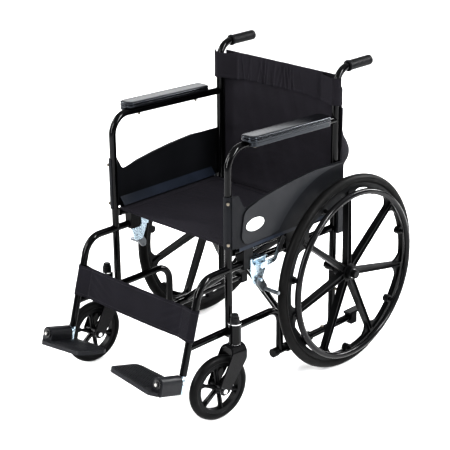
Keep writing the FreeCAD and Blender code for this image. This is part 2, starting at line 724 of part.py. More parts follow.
def casters():
    """Both casters, each swivelled a little about its own stem as they stand."""
    y_stem = back("stem_back")
    for name, straight in caster_parts().items():
        for side_name, sign in (("left", 1), ("right", -1)):
            source = straight
            if sign < 0:
                source = doc.addObject("Part::Mirroring", f"{name}_mirrored")
                source.Source = straight
                source.Normal = Vector(1, 0, 0)
            turned = group(f"{side_name}_{name}", [source])
            stem = Vector(sign * X_STEM, y_stem, 0)
            yaw = Rotation(Vector(0, 0, 1), DIM[f"{side_name}_caster_yaw"])
            turned.Placement = Placement(Vector(0, 0, 0), yaw, stem)
            node(f"{side_name}_{name}", turned)


def caster_stem_parts():
    """The two flanged bearings in the caster housing, and the stepped dust cap above them."""
    y_stem = back("stem_back")
    bore = DIM["stem_radius"] + DIM["running_gap"]
    race = DIM["housing_radius"] - 4
    flange = DIM["housing_radius"] + 1.6
    low, high = DIM["housing_bottom"], DIM["housing_top"]
    rings = []
    for name, face, inward in (("lower", low, 1), ("upper", high, -1)):
        skirt = rod(f"stem_race_{name}", (X_STEM, y_stem, face), (X_STEM, y_stem, face + inward * 9),
                    cell(f"stem_race_{name}_radius", race))
        lip = rod(f"stem_lip_{name}", (X_STEM, y_stem, face), (X_STEM, y_stem, face - inward * 0.4),
                  cell(f"stem_lip_{name}_radius", flange))
        if inward < 0:
            lip = rod("stem_lip_top", (X_STEM, y_stem, face), (X_STEM, y_stem, face + 2.4),
                      cell("stem_lip_top_radius", flange))
        whole = fuse(f"stem_bearing_{name}_whole", [skirt, lip])
        hole = rod(f"stem_hole_{name}", (X_STEM, y_stem, face - 12), (X_STEM, y_stem, face + 12),
                   cell(f"stem_hole_{name}_radius", bore))
        rings.append(cut(f"stem_bearing_{name}", whole, [hole]))
    both_sides("caster_bearings", group("left_caster_bearings", rings))
    base = high + 2.45
    lower_step = rod("dust_cap_lower", (X_STEM, y_stem, base), (X_STEM, y_stem, base + 15),
                     cell("dust_cap_radius", 13.5))
    upper_step = rod("dust_cap_upper", (X_STEM, y_stem, base), (X_STEM, y_stem, base + 26),
                     cell("dust_cap_top_radius", 11.0))
    rounded = round_edges("dust_cap_rounded", upper_step, 4.0,
                          lambda e: e.BoundBox.ZMin > base + 25 and len(e.Vertexes) < 2)
    inside = rod("dust_cap_inside", (X_STEM, y_stem, base - 1), (X_STEM, y_stem, base + 18),
                 cell("dust_cap_bore", 8.0))
    cap = fuse("dust_cap", [lower_step, rounded])
    both_sides("caster_dust_cap", cut("left_caster_dust_cap", cap, [inside]))


# ---------------------------------------------------------------- cross brace and seat rails

def brace(label, top_side, back_name):
    """One half of the cross brace: seat rail on top, leg, and sleeve round the bottom rail."""
    y = back(back_name)
    top = Vector(top_side * X_FRAME, y, DIM["seat_rail_height"])
    foot = Vector(-top_side * X_FRAME, y, DIM["bottom_rail_height"])
    run = Vector(top - foot).normalize()
    parts = [rod(f"{label}_leg", foot + run * 13, top, "Dims.tube_radius"),
             rod(f"{label}_rail", (top.x, back("seat_rail_front_back"), top.z),
                 (top.x, back("seat_rail_rear_back"), top.z), "Dims.tube_radius"),
             rod(f"{label}_sleeve", (foot.x, back("sleeve_front_back"), foot.z),
                 (foot.x, back("sleeve_rear_back"), foot.z), "Dims.sleeve_radius")]
    sleeve_bore = rod(f"{label}_sleeve_bore", (foot.x, back("sleeve_front_back") - 1, foot.z),
                      (foot.x, back("sleeve_rear_back") + 1, foot.z),
                      "Dims.tube_radius + Dims.running_gap")
    middle = (top + foot) * 0.5
    bolt_bore = rod(f"{label}_bolt_bore", middle - Vector(0, 20, 0), middle + Vector(0, 20, 0),
                    "Dims.brace_bolt_radius + Dims.running_gap")
    return cut(label, fuse(f"{label}_whole", parts), [sleeve_bore, bolt_bore])


def cross_brace():
    """The two halves of the X, and the bolt that they turn on."""
    node("front_cross_brace", brace("front_cross_brace", -1, "front_brace_back"))
    node("rear_cross_brace", brace("rear_cross_brace", 1, "rear_brace_back"))
    height = (DIM["seat_rail_height"] + DIM["bottom_rail_height"]) / 2
    front = back("rear_brace_back") - DIM["tube_radius"]
    rear = back("front_brace_back") + DIM["tube_radius"]
    shank = rod("brace_bolt_shank", (0, front - 4, height), (0, rear + 4, height), "Dims.brace_bolt_radius")
    head = doc.addObject("Part::Prism", "brace_bolt_head")
    head.Polygon = 6
    bind(head, Circumradius=cell("brace_bolt_head_radius", 9.2), Height=cell("brace_bolt_head_height", 6.5))
    head.Placement = aim((0, front - 7, height), (0, 1, 0))
    nut = doc.addObject("Part::Prism", "brace_bolt_nut")
    nut.Polygon = 6
    bind(nut, Circumradius="Dims.brace_bolt_head_radius", Height=cell("brace_bolt_nut_height", 8.0))
    nut.Placement = aim((0, rear + 0.5, height), (0, 1, 0))
    node("brace_bolt", fuse("brace_bolt", [shank, head, nut]))


def seat_saddles():
    """Two moulded saddles on the upper rail, open at the top for the seat rail."""
    inboard, outboard = 15.0, 12.3
    z_rail, z_seat = DIM["upper_rail_height"], DIM["seat_rail_height"]
    saddles = []
    for name, start in (("front", -402.0), ("rear", -222.0)):
        y0 = Y_AXLE + start
        body = block(f"saddle_{name}_body", (X_FRAME - inboard, y0, z_rail - 14),
                     (X_FRAME + outboard, y0 + 38, z_seat))
        low = rod(f"saddle_{name}_low", (X_FRAME, y0 - 1, z_rail), (X_FRAME, y0 + 39, z_rail),
                  cell(f"saddle_{name}_bore", DIM["tube_radius"] + 0.05))
        high = rod(f"saddle_{name}_high", (X_FRAME, y0 - 1, z_seat), (X_FRAME, y0 + 39, z_seat),
                   cell(f"saddle_{name}_cradle", DIM["tube_radius"] + 0.35))
        saddles.append(cut(f"saddle_{name}", body, [low, high]))
    both_sides("seat_saddles", group("left_seat_saddles", saddles))


def seat_edge_strip():
    """The folded strip clipped outside the seat rail, leaning in over the edge of the seat."""
    y0 = back("seat_rail_front_back") + 16
    length = back("seat_rail_rear_back") - y0 - 2
    z = DIM["seat_rail_height"]
    outer = X_FRAME + DIM["tube_radius"]
    lip = DIM["tube_radius"] + DIM["sling_thickness"] + 0.8
    section = [(outer + 0.1, y0, z), (outer + 1.6, y0, z), (outer + 1.6, y0, z + 42),
               (outer - 19.5, y0, z + lip + 1.4), (outer - 18.0, y0, z + lip), (outer + 0.1, y0, z + 37)]
    both_sides("seat_edge_strip", plate("left_seat_edge_strip", section, [0] * 6, (0, length, 0)))


# ---------------------------------------------------------------- side panel, pads and screws

def side_panel():
    """The moulded clothes guard: a plate with a raised field, and a channel round the front post."""
    x = DIM["panel_plane"]
    top = [(-404, 606), (-343, 619), (-272, 631), (-200, 640), (-110, 647), (26, 644)]
    front = [(-440, 493), (-440, 652), (-427, 650)]
    outline = front + top + [(26, 493)]
    radii = [0, 3, 5, 16, 0, 0, 0, 0, 6, 4]
    corners = [(x, Y_AXLE + u, z) for u, z in outline]
    base = plate("panel_base", corners, radii, (DIM["panel_thickness"], 0, 0))
    field_x = x + DIM["panel_thickness"]
    raised = [(-408, 600)] + top[1:-1] + [(22, 640), (22, 560), (-300, 499), (-424, 499)]
    field = plate("panel_field", [(field_x - 1, Y_AXLE + u, z) for u, z in raised],
                  [30, 0, 0, 0, 0, 4, 0, 0, 30], (DIM["panel_relief"] + 1, 0, 0))
    arch = rod("panel_arch", (field_x, Y_AXLE, Z_AXLE), (field_x + 20, Y_AXLE, Z_AXLE), "Dims.arch_radius")
    relief = cut("panel_relief_field", field, [arch])
    gap = DIM["tube_radius"] + 0.1
    wrap = ring("panel_wrap", (X_FRAME, Y_POST, 497), (0, 0, 1), gap, gap + 3.4, 155)
    behind = block("panel_wrap_behind", (X_FRAME - 30, Y_POST + 2, 490), (X_FRAME + 6, Y_POST + 40, 660))
    inboard = block("panel_wrap_inboard", (X_FRAME - 30, Y_POST - 40, 490), (X_FRAME - 5, Y_POST + 3, 660))
    channel = cut("panel_channel", wrap, [behind, inboard])
    bridge = block("panel_bridge", (X_FRAME + DIM["tube_radius"] + 1.2, Y_POST - 2, 497),
                   (x + DIM["panel_thickness"], Y_POST + 16, 652))
    clip = block("panel_clip", (X_FRAME + DIM["tube_radius"] + 0.3, Y_CANE - 9, 505),
                 (x + 1, Y_CANE + 9, 560))
    tab = block("panel_tab", (x - 1, Y_CANE - 4, 418), (x + 9, Y_CANE + 20, 499))
    both_sides("side_panel", fuse("left_side_panel", [base, relief, channel, bridge, clip, tab]))


def frame_screws():
    """The panel's two screws into the front post, and the pad's two screws from under the arm tube."""
    screws = []
    face = DIM["tube_radius"] + 3.5
    outward = Vector(1, -1, 0).normalize()
    for i, z in enumerate((512, 634)):
        seat = Vector(X_FRAME, Y_POST, z) + outward * face
        screws.append(rod(f"panel_screw_{i}", seat, seat + outward * 4.5, cell(f"panel_screw_{i}_head", 4.6)))
    for i, u in enumerate((-343, -105)):
        y = Y_AXLE + u
        seat = Vector(X_FRAME, y, arm_height(y) - DIM["tube_radius"] - 0.35)
        screws.append(rod(f"pad_screw_{i}", seat, seat - Vector(0, 0, 4), cell(f"pad_screw_{i}_head", 4.2)))
    cane_face = X_FRAME + DIM["tube_radius"] + 0.02
    screws.append(rod("cane_bolt", (cane_face, Y_CANE + 3, 230), (cane_face + 4, Y_CANE + 3, 230),
                      cell("cane_bolt_head", 5.0)))
    rail_face = DIM["bottom_rail_height"] + DIM["tube_radius"] + 0.02
    screws.append(rod("rail_bolt", (X_FRAME, Y_AXLE - 40, rail_face), (X_FRAME, Y_AXLE - 40, rail_face + 4),
                      cell("rail_bolt_head", 5.0)))
    both_sides("frame_screws", group("left_frame_screws", screws))


def armrest_pad():
    """The long moulded pad on the arm tube, with round ends and a groove under its top."""
    y0, y1 = back("pad_front_back"), back("pad_rear_back")
    half = DIM["pad_half_width"]
    length = y1 - y0
    low = DIM["tube_radius"] + 0.1
    body = doc.addObject("PartDesign::Body", "pad_body")
    lower = rounded_path([(-half, 0, 0), (half, 0, 0), (half, length, 0), (-half, length, 0)],
                         [22, 22, 16, 16], True)
    sketch = sketch_on(body, "pad_outline", "XY_Plane", 0, lower)
    pad = body.newObject("PartDesign::Pad", "pad_block")
    pad.Profile = sketch
    bind(pad, Length="Dims.pad_thickness")
    body.Tip = pad
    doc.recompute()
    tall = DIM["pad_thickness"]
    rounded = round_edges("pad_rounded", body, 5.0, lambda e: e.BoundBox.ZMin > tall - 0.01)
    rim = plate("pad_groove_outline", [(-half - 2, -2, 0), (half + 2, -2, 0), (half + 2, length + 2, 0),
                                       (-half - 2, length + 2, 0)], [0] * 4, (0, 0, 2.2))
    keep = plate("pad_groove_keep", [(-half + 1.6, 1.6, -1), (half - 1.6, 1.6, -1),
                                     (half - 1.6, length - 1.6, -1), (-half + 1.6, length - 1.6, -1)],
                 [20, 20, 14, 14], (0, 0, 5))
    groove = cut("pad_groove", rim, [keep])
    groove.Placement = Placement(Vector(0, 0, tall * 0.55), Rotation())
    flat = cut("pad_grooved", rounded, [groove])
    placed = group("left_armrest_pad", [flat])
    tilt = Rotation(Vector(1, 0, 0), ARM_SLOPE)
    placed.Placement = Placement(Vector(X_FRAME + DIM["pad_offset"], y0, arm_height(y0) + low), tilt)
    both_sides("armrest_pad", placed)


# ---------------------------------------------------------------- wheel lock

def wheel_lock():
    """The push-to-lock brake: a folded bracket, a lever with its grip, and the arm with the shoe."""
    x = X_FRAME + DIM["tube_radius"] + 1.5
    z_rail = DIM["upper_rail_height"]
    sheet_plate = plate("lock_plate", [(x, Y_AXLE - 377, 446), (x, Y_AXLE - 377, 404),
                                       (x, Y_AXLE - 362, 360), (x, Y_AXLE - 332, 360),
                                       (x, Y_AXLE - 314, 400), (x, Y_AXLE - 314, 446)],
                        [6, 8, 10, 10, 8, 6], (3, 0, 0))
    flange = block("lock_flange", (x, Y_AXLE - 374, 443), (x + 13, Y_AXLE - 318, 446))
    clamp = block("lock_clamp_body", (X_FRAME - 14, Y_AXLE - 360, z_rail - 13),
                  (x + 0.5, Y_AXLE - 330, z_rail + 13))
    clamp_bore = rod("lock_clamp_bore", (X_FRAME, Y_AXLE - 361, z_rail), (X_FRAME, Y_AXLE - 329, z_rail),
                     cell("lock_clamp_bore_radius", DIM["tube_radius"] + 0.05))
    clamped = cut("lock_clamp", clamp, [clamp_bore])
    pin_radius = cell("lock_pin_radius", 4.0)
    pin_hole = cell("lock_pin_hole", 4.0 + DIM["running_gap"])
    lever_pin = rod("lock_lever_pin", (x + 1, Y_AXLE - 345, 424), (x + 23, Y_AXLE - 345, 424), pin_radius)
    arm_pin = rod("lock_arm_pin", (x + 1, Y_AXLE - 347, 376), (x + 18, Y_AXLE - 347, 376), pin_radius)
    both_sides("wheel_lock_bracket",
               fuse("left_wheel_lock_bracket", [sheet_plate, flange, clamped, lever_pin, arm_pin]))

    lever_x = x + 17.7
    strip = plate("lock_lever_strip", [(lever_x, Y_AXLE - 356, 430), (lever_x, Y_AXLE - 352, 412),
                                       (lever_x, Y_AXLE - 290, 420), (lever_x, Y_AXLE - 262, 466),
                                       (lever_x, Y_AXLE - 272, 474), (lever_x, Y_AXLE - 296, 434)],
                  [8, 8, 12, 3, 3, 10], (3.5, 0, 0))
    lever_hole = rod("lock_lever_hole", (lever_x - 1, Y_AXLE - 345, 424),
                     (lever_x + 8, Y_AXLE - 345, 424), pin_hole)
    strip_done = cut("lock_lever", strip, [lever_hole])
    both_sides("wheel_lock_lever", strip_done)
    grip_low = Vector(lever_x + 1.75, Y_AXLE - 281.5, 447.5)
    grip_high = Vector(lever_x + 1.75, Y_AXLE - 257, 487)
    grip = rod("lock_grip_body", grip_low, grip_high, cell("lock_grip_radius", 8.5))
    rounded = round_edges("lock_grip_rounded", grip, 3.0, lambda e: len(e.Vertexes) < 2)
    slot = plate("lock_grip_slot", [(lever_x - 0.1, Y_AXLE - 300, 410), (lever_x - 0.1, Y_AXLE - 255, 450),
                                    (lever_x - 0.1, Y_AXLE - 258, 474), (lever_x - 0.1, Y_AXLE - 300, 474)],
                 [0] * 4, (3.7, 0, 0))
    both_sides("wheel_lock_grip", cut("left_wheel_lock_grip", rounded, [slot]))

    arm_x = x + 3.6
    arm = plate("lock_arm_plate", [(arm_x, Y_AXLE - 358, 384), (arm_x, Y_AXLE - 357, 366),
                                   (arm_x, Y_AXLE - 331, 331), (arm_x, Y_AXLE - 315, 331),
                                   (arm_x, Y_AXLE - 314, 348), (arm_x, Y_AXLE - 338, 386)],
                [8, 8, 6, 6, 6, 8], (5, 0, 0))
    arm_hole = rod("lock_arm_hole", (arm_x - 1, Y_AXLE - 347, 376), (arm_x + 6, Y_AXLE - 347, 376), pin_hole)
    shoe = rod("lock_shoe", (arm_x, Y_AXLE - 323, 340), (DIM["wheel_plane"] + 14, Y_AXLE - 323, 340),
               cell("lock_shoe_radius", 6.0))
    drilled = cut("lock_arm", arm, [arm_hole])
    both_sides("wheel_lock_shoe_arm", fuse("left_wheel_lock_shoe_arm", [drilled, shoe]))


# ---------------------------------------------------------------- footrest

def footrest():
    """The telescoping post with its pin, the footplate on that pin, and the end bolt."""
    drop = -DIM["barrel_drop"]
    end = DIM["barrel_end"]
    start = DIM["barrel_start"]
    post = rod("foot_post", foot_point(X_FRAME, 0, 120), foot_point(X_FRAME, 0, -54), "Dims.post_radius")
    heel = rod("foot_heel", foot_point(X_FRAME, 0, drop), foot_point(X_FRAME, start - 2, drop),
               cell("foot_heel_radius", 12.0))
    pin_radius = cell("foot_pin_radius", 7.0)
    pin = rod("foot_pin", foot_point(X_FRAME, 0, drop), foot_point(X_FRAME, end + 1, drop), pin_radius)
    both_sides("footrest_post", fuse("left_footrest_post", [post, heel, pin]))

    shell = rod("foot_barrel_round", foot_point(X_FRAME, start, drop), foot_point(X_FRAME, end, drop),
                "Dims.barrel_radius")
    keel_section = [foot_point(X_FRAME - 20, start, drop), foot_point(X_FRAME - 20, start, drop - 26),
                    foot_point(X_FRAME - 8, start, drop - 33), foot_point(X_FRAME + 20, start, drop - 33),
                    foot_point(X_FRAME + 20, start, drop)]
    keel = plate("foot_barrel_keel", [tuple(p) for p in keel_section], [0, 5, 5, 6, 0],
                 tuple(FOOT_FORWARD * (end - start)))
    droop = math.radians(DIM["leaf_droop"])
    inward = Vector(-math.cos(droop), 0, 0) - HANGER_UP * math.sin(droop)
    leaf_up = HANGER_UP * math.cos(droop) - Vector(math.sin(droop), 0, 0)
    pivot = foot_point(X_FRAME, 0, drop)
    reach = DIM["leaf_reach"]

    def on_leaf(inboard, forward, lift):
        """A point of the leaf: distance inboard of the pin, forward of the post, and up."""
        return tuple(pivot + inward * inboard + FOOT_FORWARD * forward + leaf_up * lift)

    top = DIM["leaf_thickness"] - DIM["leaf_drop"]
    outline = [(-14, start + 8), (16, start + 8), (20, -10), (84, -10), (reach, 8), (reach, 122), (4, 120),
               (-14, end + 4)]
    leaf = plate("foot_leaf", [on_leaf(a, b, -DIM["leaf_drop"]) for a, b in outline],
                 [0, 4, 8, 40, 24, 18, 14, 8], tuple(leaf_up * DIM["leaf_thickness"]))
    parts = [shell, keel, leaf]
    rib_count = 11
    for i in range(rib_count):
        forward = 14 + i * 9.0
        rib = [(32, forward), (reach - 10, forward), (reach - 10, forward + 3.5), (32, forward + 3.5)]
        parts.append(plate(f"foot_rib_{i}", [on_leaf(a, b, top - 0.5) for a, b in rib], [0] * 4,
                           tuple(leaf_up * 1.7)))
    bore = rod("foot_bore", foot_point(X_FRAME, start - 1, drop), foot_point(X_FRAME, end + 30, drop),
               "Dims.foot_pin_radius + Dims.running_gap")
    relief = rod("foot_relief", foot_point(X_FRAME, end, drop), foot_point(X_FRAME, end + 80, drop),
                 cell("foot_relief_radius", 14.5))
    both_sides("footplate", cut("left_footplate", fuse("foot_whole", parts), [bore, relief]))

    washer = rod("foot_washer", foot_point(X_FRAME, end + 1.05, drop), foot_point(X_FRAME, end + 4, drop),
                 cell("foot_washer_radius", 14.0))
    head = rod("foot_bolt_head", foot_point(X_FRAME, end + 3.9, drop), foot_point(X_FRAME, end + 9, drop),
               cell("foot_bolt_head_radius", 7.5))
    rounded = round_edges("foot_bolt_rounded", head, 2.5, lambda e: len(e.Vertexes) < 2)
    both_sides("footplate_bolt", fuse("left_footplate_bolt", [washer, rounded]))


# ---------------------------------------------------------------- soft parts, kept plain

def seat_sling():
    """The seat fabric in two halves, each held by its own seat rail, so that the chair can fold."""
    z = DIM["seat_rail_height"] + DIM["tube_radius"] + 0.4
    both_sides("seat_sling", block("left_seat_sling", (0.2, back("seat_rail_front_back") - 3, z),
                                   (X_FRAME, back("seat_rail_rear_back") + 3, z + DIM["sling_thickness"])))


def back_upholstery():
    """The back fabric in two halves, each with its top band looped round its own cane."""
    clear = DIM["cane_radius"] + 0.6
    face = Y_CANE + clear
    rear = face + DIM["back_thickness"]
    panel = block("back_panel", (0.2, face, DIM["back_bottom"]), (X_FRAME - 4, rear, DIM["back_top"]))
    straight = DIM["handle_height"] - DIM["handle_bend"] - DIM["back_band_bottom"]
    loop_foot = (X_FRAME, Y_CANE, DIM["back_band_bottom"])
    loop = ring("back_loop", loop_foot, (0, 0, 1), clear, clear + 3, straight)
    outside = [(20, 812), (27, 812), (29, 745), (72, 668), (68, 642), (48, 622), (20, 617)]
    inside = [(20.4, 820), (24, 820), (26, 744), (68.5, 667), (65, 644), (47, 625.5), (20.4, 621)]
    radii = [0, 0, 30, 14, 12, 16, 0]
    bag = plate("pocket_bag", [(0.2, Y_AXLE + u, z) for u, z in outside], radii, (X_FRAME - 10, 0, 0))
    room = plate("pocket_room", [(-1, Y_AXLE + u, z) for u, z in inside], radii, (X_FRAME - 12, 0, 0))
    pocket = cut("back_pocket", bag, [room])
    whole = fuse("back_whole", [panel, loop, pocket])
    bend = [(X_FRAME, Y_CANE, DIM["back_bottom"] - 10), (X_FRAME, Y_CANE, DIM["handle_height"]),
            (X_FRAME, back("grip_rear_back"), DIM["handle_height"])]
    cane = bent_bar("back_cane_room", bend, [0, DIM["handle_bend"], 0], cell("back_clearance", clear))
    both_sides("back_upholstery", cut("left_back_upholstery", whole, [cane]))


def calf_strap():
    """The band looped round both hanger tubes behind the sitter's calves."""
    top, low = on_hanger(DIM["strap_top"]), on_hanger(DIM["strap_bottom"])
    clear = DIM["tube_radius"] + 0.5
    outer = clear + DIM["strap_thickness"]
    length = (top - low).Length
    loops = []
    for name, side in (("left", 1), ("right", -1)):
        foot = Vector(side * low.x, low.y, low.z)
        loops.append(ring(f"strap_loop_{name}", tuple(foot), tuple(HANGER_UP), clear, outer, length))
    reach = X_FRAME - clear - 1
    half = FOOT_FORWARD * (DIM["strap_thickness"] / 2)
    corners = [Vector(-reach, low.y, low.z) - half, Vector(reach, low.y, low.z) - half,
               Vector(reach, low.y, low.z) + half, Vector(-reach, low.y, low.z) + half]
    band = plate("strap_band", [tuple(c) for c in corners], [0] * 4, tuple(HANGER_UP * length))
    node("calf_strap", fuse("calf_strap", loops + [band]))


# ---------------------------------------------------------------- build, check and write

side_frame()
rail_ends()
push_grip()
rear_wheel()
casters()
caster_stem_parts()
cross_brace()
seat_saddles()
seat_edge_strip()
side_panel()
frame_screws()
armrest_pad()
wheel_lock()
footrest()
seat_sling()
back_upholstery()
calf_strap()
doc.recompute()

faults = [obj.Label for obj in doc.Objects if "Invalid" in obj.State or "Error" in obj.State]
for name, obj in nodes.items():
    if obj.Shape.isNull() or not obj.Shape.isValid() or obj.Shape.Volume <= 0:
        faults.append(name)
if faults:
    raise RuntimeError("failed objects: " + ", ".join(faults))

os.makedirs("parts", exist_ok=True)
for name, obj in nodes.items():
    obj.Shape.exportStep(f"parts/{name}.step")
print(f"{len(nodes)} sub-parts written")
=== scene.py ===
"""Looks of the folding wheelchair: materials for every CAD piece, and its soft goods, pads and grips."""
import json
import math

import bpy
import numpy as np
from mathutils import Matrix, Vector


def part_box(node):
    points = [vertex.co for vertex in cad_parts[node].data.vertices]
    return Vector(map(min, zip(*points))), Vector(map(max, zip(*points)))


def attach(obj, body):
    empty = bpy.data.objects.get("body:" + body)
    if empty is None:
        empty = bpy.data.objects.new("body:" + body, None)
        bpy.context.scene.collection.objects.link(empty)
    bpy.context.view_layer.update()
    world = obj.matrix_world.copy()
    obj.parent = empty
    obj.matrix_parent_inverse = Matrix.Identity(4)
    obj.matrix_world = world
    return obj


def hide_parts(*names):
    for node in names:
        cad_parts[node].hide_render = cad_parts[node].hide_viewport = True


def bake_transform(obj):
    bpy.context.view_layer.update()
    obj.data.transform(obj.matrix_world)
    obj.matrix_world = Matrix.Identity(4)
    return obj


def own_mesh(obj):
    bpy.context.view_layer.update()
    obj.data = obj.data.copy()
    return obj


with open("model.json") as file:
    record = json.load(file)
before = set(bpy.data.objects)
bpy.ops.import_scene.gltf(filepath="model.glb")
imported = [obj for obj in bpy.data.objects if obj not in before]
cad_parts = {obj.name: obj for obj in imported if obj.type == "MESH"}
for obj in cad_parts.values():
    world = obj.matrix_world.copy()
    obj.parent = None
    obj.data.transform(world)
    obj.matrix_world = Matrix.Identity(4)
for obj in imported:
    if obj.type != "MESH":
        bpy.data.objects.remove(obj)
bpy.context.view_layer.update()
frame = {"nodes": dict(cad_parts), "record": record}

NODES = frame["nodes"]


def centre(node):
    """The middle of a CAD node's box."""
    low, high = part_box(node)
    return (low + high) / 2


# ---------------------------------------------------------------- places, read from the CAD frame

SLING_LOW, SLING_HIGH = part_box("left_seat_sling")
BACK_LOW, BACK_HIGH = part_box("left_back_upholstery")
PAD_LOW, PAD_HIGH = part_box("left_armrest_pad")
GRIP_LOW, GRIP_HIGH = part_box("left_push_grip")
STRAP_LOW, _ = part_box("calf_strap")
_, PANEL_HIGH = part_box("left_side_panel")
FRAME_X = centre("left_push_grip").x
AXLE = centre("left_wheel_axle")
CANE_Y = BACK_LOW.y + 0.0145
RAIL_Z = SLING_LOW.z - 0.0114
LABEL_Y, LABEL_Z = AXLE.y - 0.366, 0.552
LABEL_HALF_LENGTH, LABEL_HALF_HEIGHT = 0.037, 0.019


# ---------------------------------------------------------------- materials

def shader(name, color, rough, metal=0.0, **sockets):
    """A material with a Principled shader; its constant values stand on the shader's own sockets."""
    mat = bpy.data.materials.new(name)
    mat.use_nodes = True
    tree = mat.node_tree
    surface = tree.nodes["Principled BSDF"]
    surface.inputs["Base Color"].default_value = (*color, 1)
    surface.inputs["Roughness"].default_value = rough
    surface.inputs["Metallic"].default_value = metal
    for socket, value in sockets.items():
        surface.inputs[socket.replace("_", " ")].default_value = value
    return mat, tree, surface


def noise(tree, scale, detail=3.0, rough=0.5, stretch=None):
    """Noise in object space; stretch squeezes it along the axes, for brushed or drawn surfaces."""
    coords = tree.nodes.new("ShaderNodeTexCoord")
    source = coords.outputs["Object"]
    if stretch:
        mapping = tree.nodes.new("ShaderNodeMapping")
        mapping.inputs["Scale"].default_value = stretch
        tree.links.new(source, mapping.inputs["Vector"])
        source = mapping.outputs["Vector"]
    node = tree.nodes.new("ShaderNodeTexNoise")
    node.inputs["Scale"].default_value = scale
    node.inputs["Detail"].default_value = detail
    node.inputs["Roughness"].default_value = rough
    tree.links.new(source, node.inputs["Vector"])
    return node.outputs["Fac"]


def ramp(tree, source, stops):
    """A colour ramp through (position, colour) stops."""
    node = tree.nodes.new("ShaderNodeValToRGB")
    elements = node.color_ramp.elements
    while len(elements) < len(stops):
        elements.new(0.5)
    for element, (position, color) in zip(elements, stops):
        element.position = position
        element.color = (*color, 1)
    tree.links.new(source, node.inputs["Fac"])
    return node.outputs["Color"]


def spread(tree, source, low, high):
    """Rescale a 0..1 value to low..high."""
    node = tree.nodes.new("ShaderNodeMapRange")
    node.inputs["From Min"].default_value = 0.3
    node.inputs["From Max"].default_value = 0.7
    node.inputs["To Min"].default_value = low
    node.inputs["To Max"].default_value = high
    tree.links.new(source, node.inputs["Value"])
    return node.outputs["Result"]


def math_node(tree, operation, a, b=None):
    """One maths node; a and b are sockets or numbers."""
    node = tree.nodes.new("ShaderNodeMath")
    node.operation = operation
    for socket, value in zip(node.inputs, (a, b)):
        if value is None:
            continue
        if isinstance(value, (int, float)):
            socket.default_value = value
        else:
            tree.links.new(value, socket)
    return node.outputs["Value"]


def bump(tree, surface, height, distance, strength=1.0, before=None):
    """Relief of a given height in metres on the shader's normal."""
    node = tree.nodes.new("ShaderNodeBump")
    node.inputs["Strength"].default_value = strength
    node.inputs["Distance"].default_value = distance
    tree.links.new(height, node.inputs["Height"])
    if before is not None:
        tree.links.new(before, node.inputs["Normal"])
    tree.links.new(node.outputs["Normal"], surface.inputs["Normal"])
    return node.outputs["Normal"]


def varied(tree, surface, color, amount, scale):
    """Slow changes of tone over the surface."""
    darker = [c * (1 - amount) for c in color]
    lighter = [min(1.0, c * (1 + amount)) for c in color]
    tone = ramp(tree, noise(tree, scale, 4), [(0.35, darker), (0.65, lighter)])
    tree.links.new(tone, surface.inputs["Base Color"])


def painted(name, color, rough, peel, coat, shine=0.16):
    """Powder coat: orange peel, slow tone changes and a smooth top."""
    mat, tree, surface = shader(name, color, rough, Coat_Weight=coat, Coat_Roughness=0.06)
    surface.inputs["Specular IOR Level"].default_value = shine
    varied(tree, surface, color, 0.25, 14)
    rough_map = spread(tree, noise(tree, 60, 4), rough * 0.8, rough * 1.25)
    tree.links.new(rough_map, surface.inputs["Roughness"])
    bump(tree, surface, noise(tree, 900, 2), peel)
    return mat


def moulded(name, color, rough, grain, scale=1400, coat=0.0, shine=0.14):
    """Moulded plastic: fine spark-eroded grain, faint flow marks and scuffed patches."""
    mat, tree, surface = shader(name, color, rough, Coat_Weight=coat, Coat_Roughness=0.25)
    surface.inputs["Specular IOR Level"].default_value = shine
    varied(tree, surface, color, 0.18, 9)
    rough_map = spread(tree, noise(tree, 35, 5, 0.6), rough * 0.82, rough * 1.2)
    tree.links.new(rough_map, surface.inputs["Roughness"])
    first = bump(tree, surface, noise(tree, scale, 3, 0.6), grain)
    bump(tree, surface, noise(tree, 45, 2), grain * 2.0, 0.35, first)
    return mat


def skinned(name, color, rough):
    """Skinned foam: a glossy, nearly smooth moulded skin with a faint pore and slow dull patches."""
    mat, tree, surface = shader(name, color, rough)
    surface.inputs["Specular IOR Level"].default_value = 0.36
    surface.inputs["Specular Tint"].default_value = (0.8, 0.89, 1.0, 1)
    varied(tree, surface, color, 0.12, 7)
    rough_map = spread(tree, noise(tree, 14, 1), rough * 0.95, rough * 1.06)
    tree.links.new(rough_map, surface.inputs["Roughness"])
    bump(tree, surface, noise(tree, 700, 2, 0.5), 0.000006)
    return mat


def plated(name, color, rough, stretch, blotch):
    """Plated steel: drawing lines, and the cloudy tone of zinc."""
    mat, tree, surface = shader(name, color, rough, 1.0)
    cloud = noise(tree, 70, 5, 0.6)
    tone = ramp(tree, cloud, [(0.3, [c * (1 - blotch) for c in color]), (0.7, color)])
    tree.links.new(tone, surface.inputs["Base Color"])
    worn = spread(tree, noise(tree, 160, 4, 0.6), rough * 0.7, rough * 1.4)
    tree.links.new(worn, surface.inputs["Roughness"])
    bump(tree, surface, noise(tree, 420, 3, 0.6, stretch), 0.000008)
    return mat


def rubbery(name, color, rough, scale, depth):
    """Rubber: dusty tone changes and a fine moulded skin."""
    mat, tree, surface = shader(name, color, rough)
    surface.inputs["Specular IOR Level"].default_value = 0.08
    dusty = [c * 1.35 + 0.0015 for c in color]
    tone = ramp(tree, noise(tree, 26, 6, 0.65), [(0.38, color), (0.72, dusty)])
    tree.links.new(tone, surface.inputs["Base Color"])
    tree.links.new(spread(tree, noise(tree, 50, 4), rough * 0.85, rough * 1.1), surface.inputs["Roughness"])
    bump(tree, surface, noise(tree, scale, 3, 0.6), depth)
    return mat


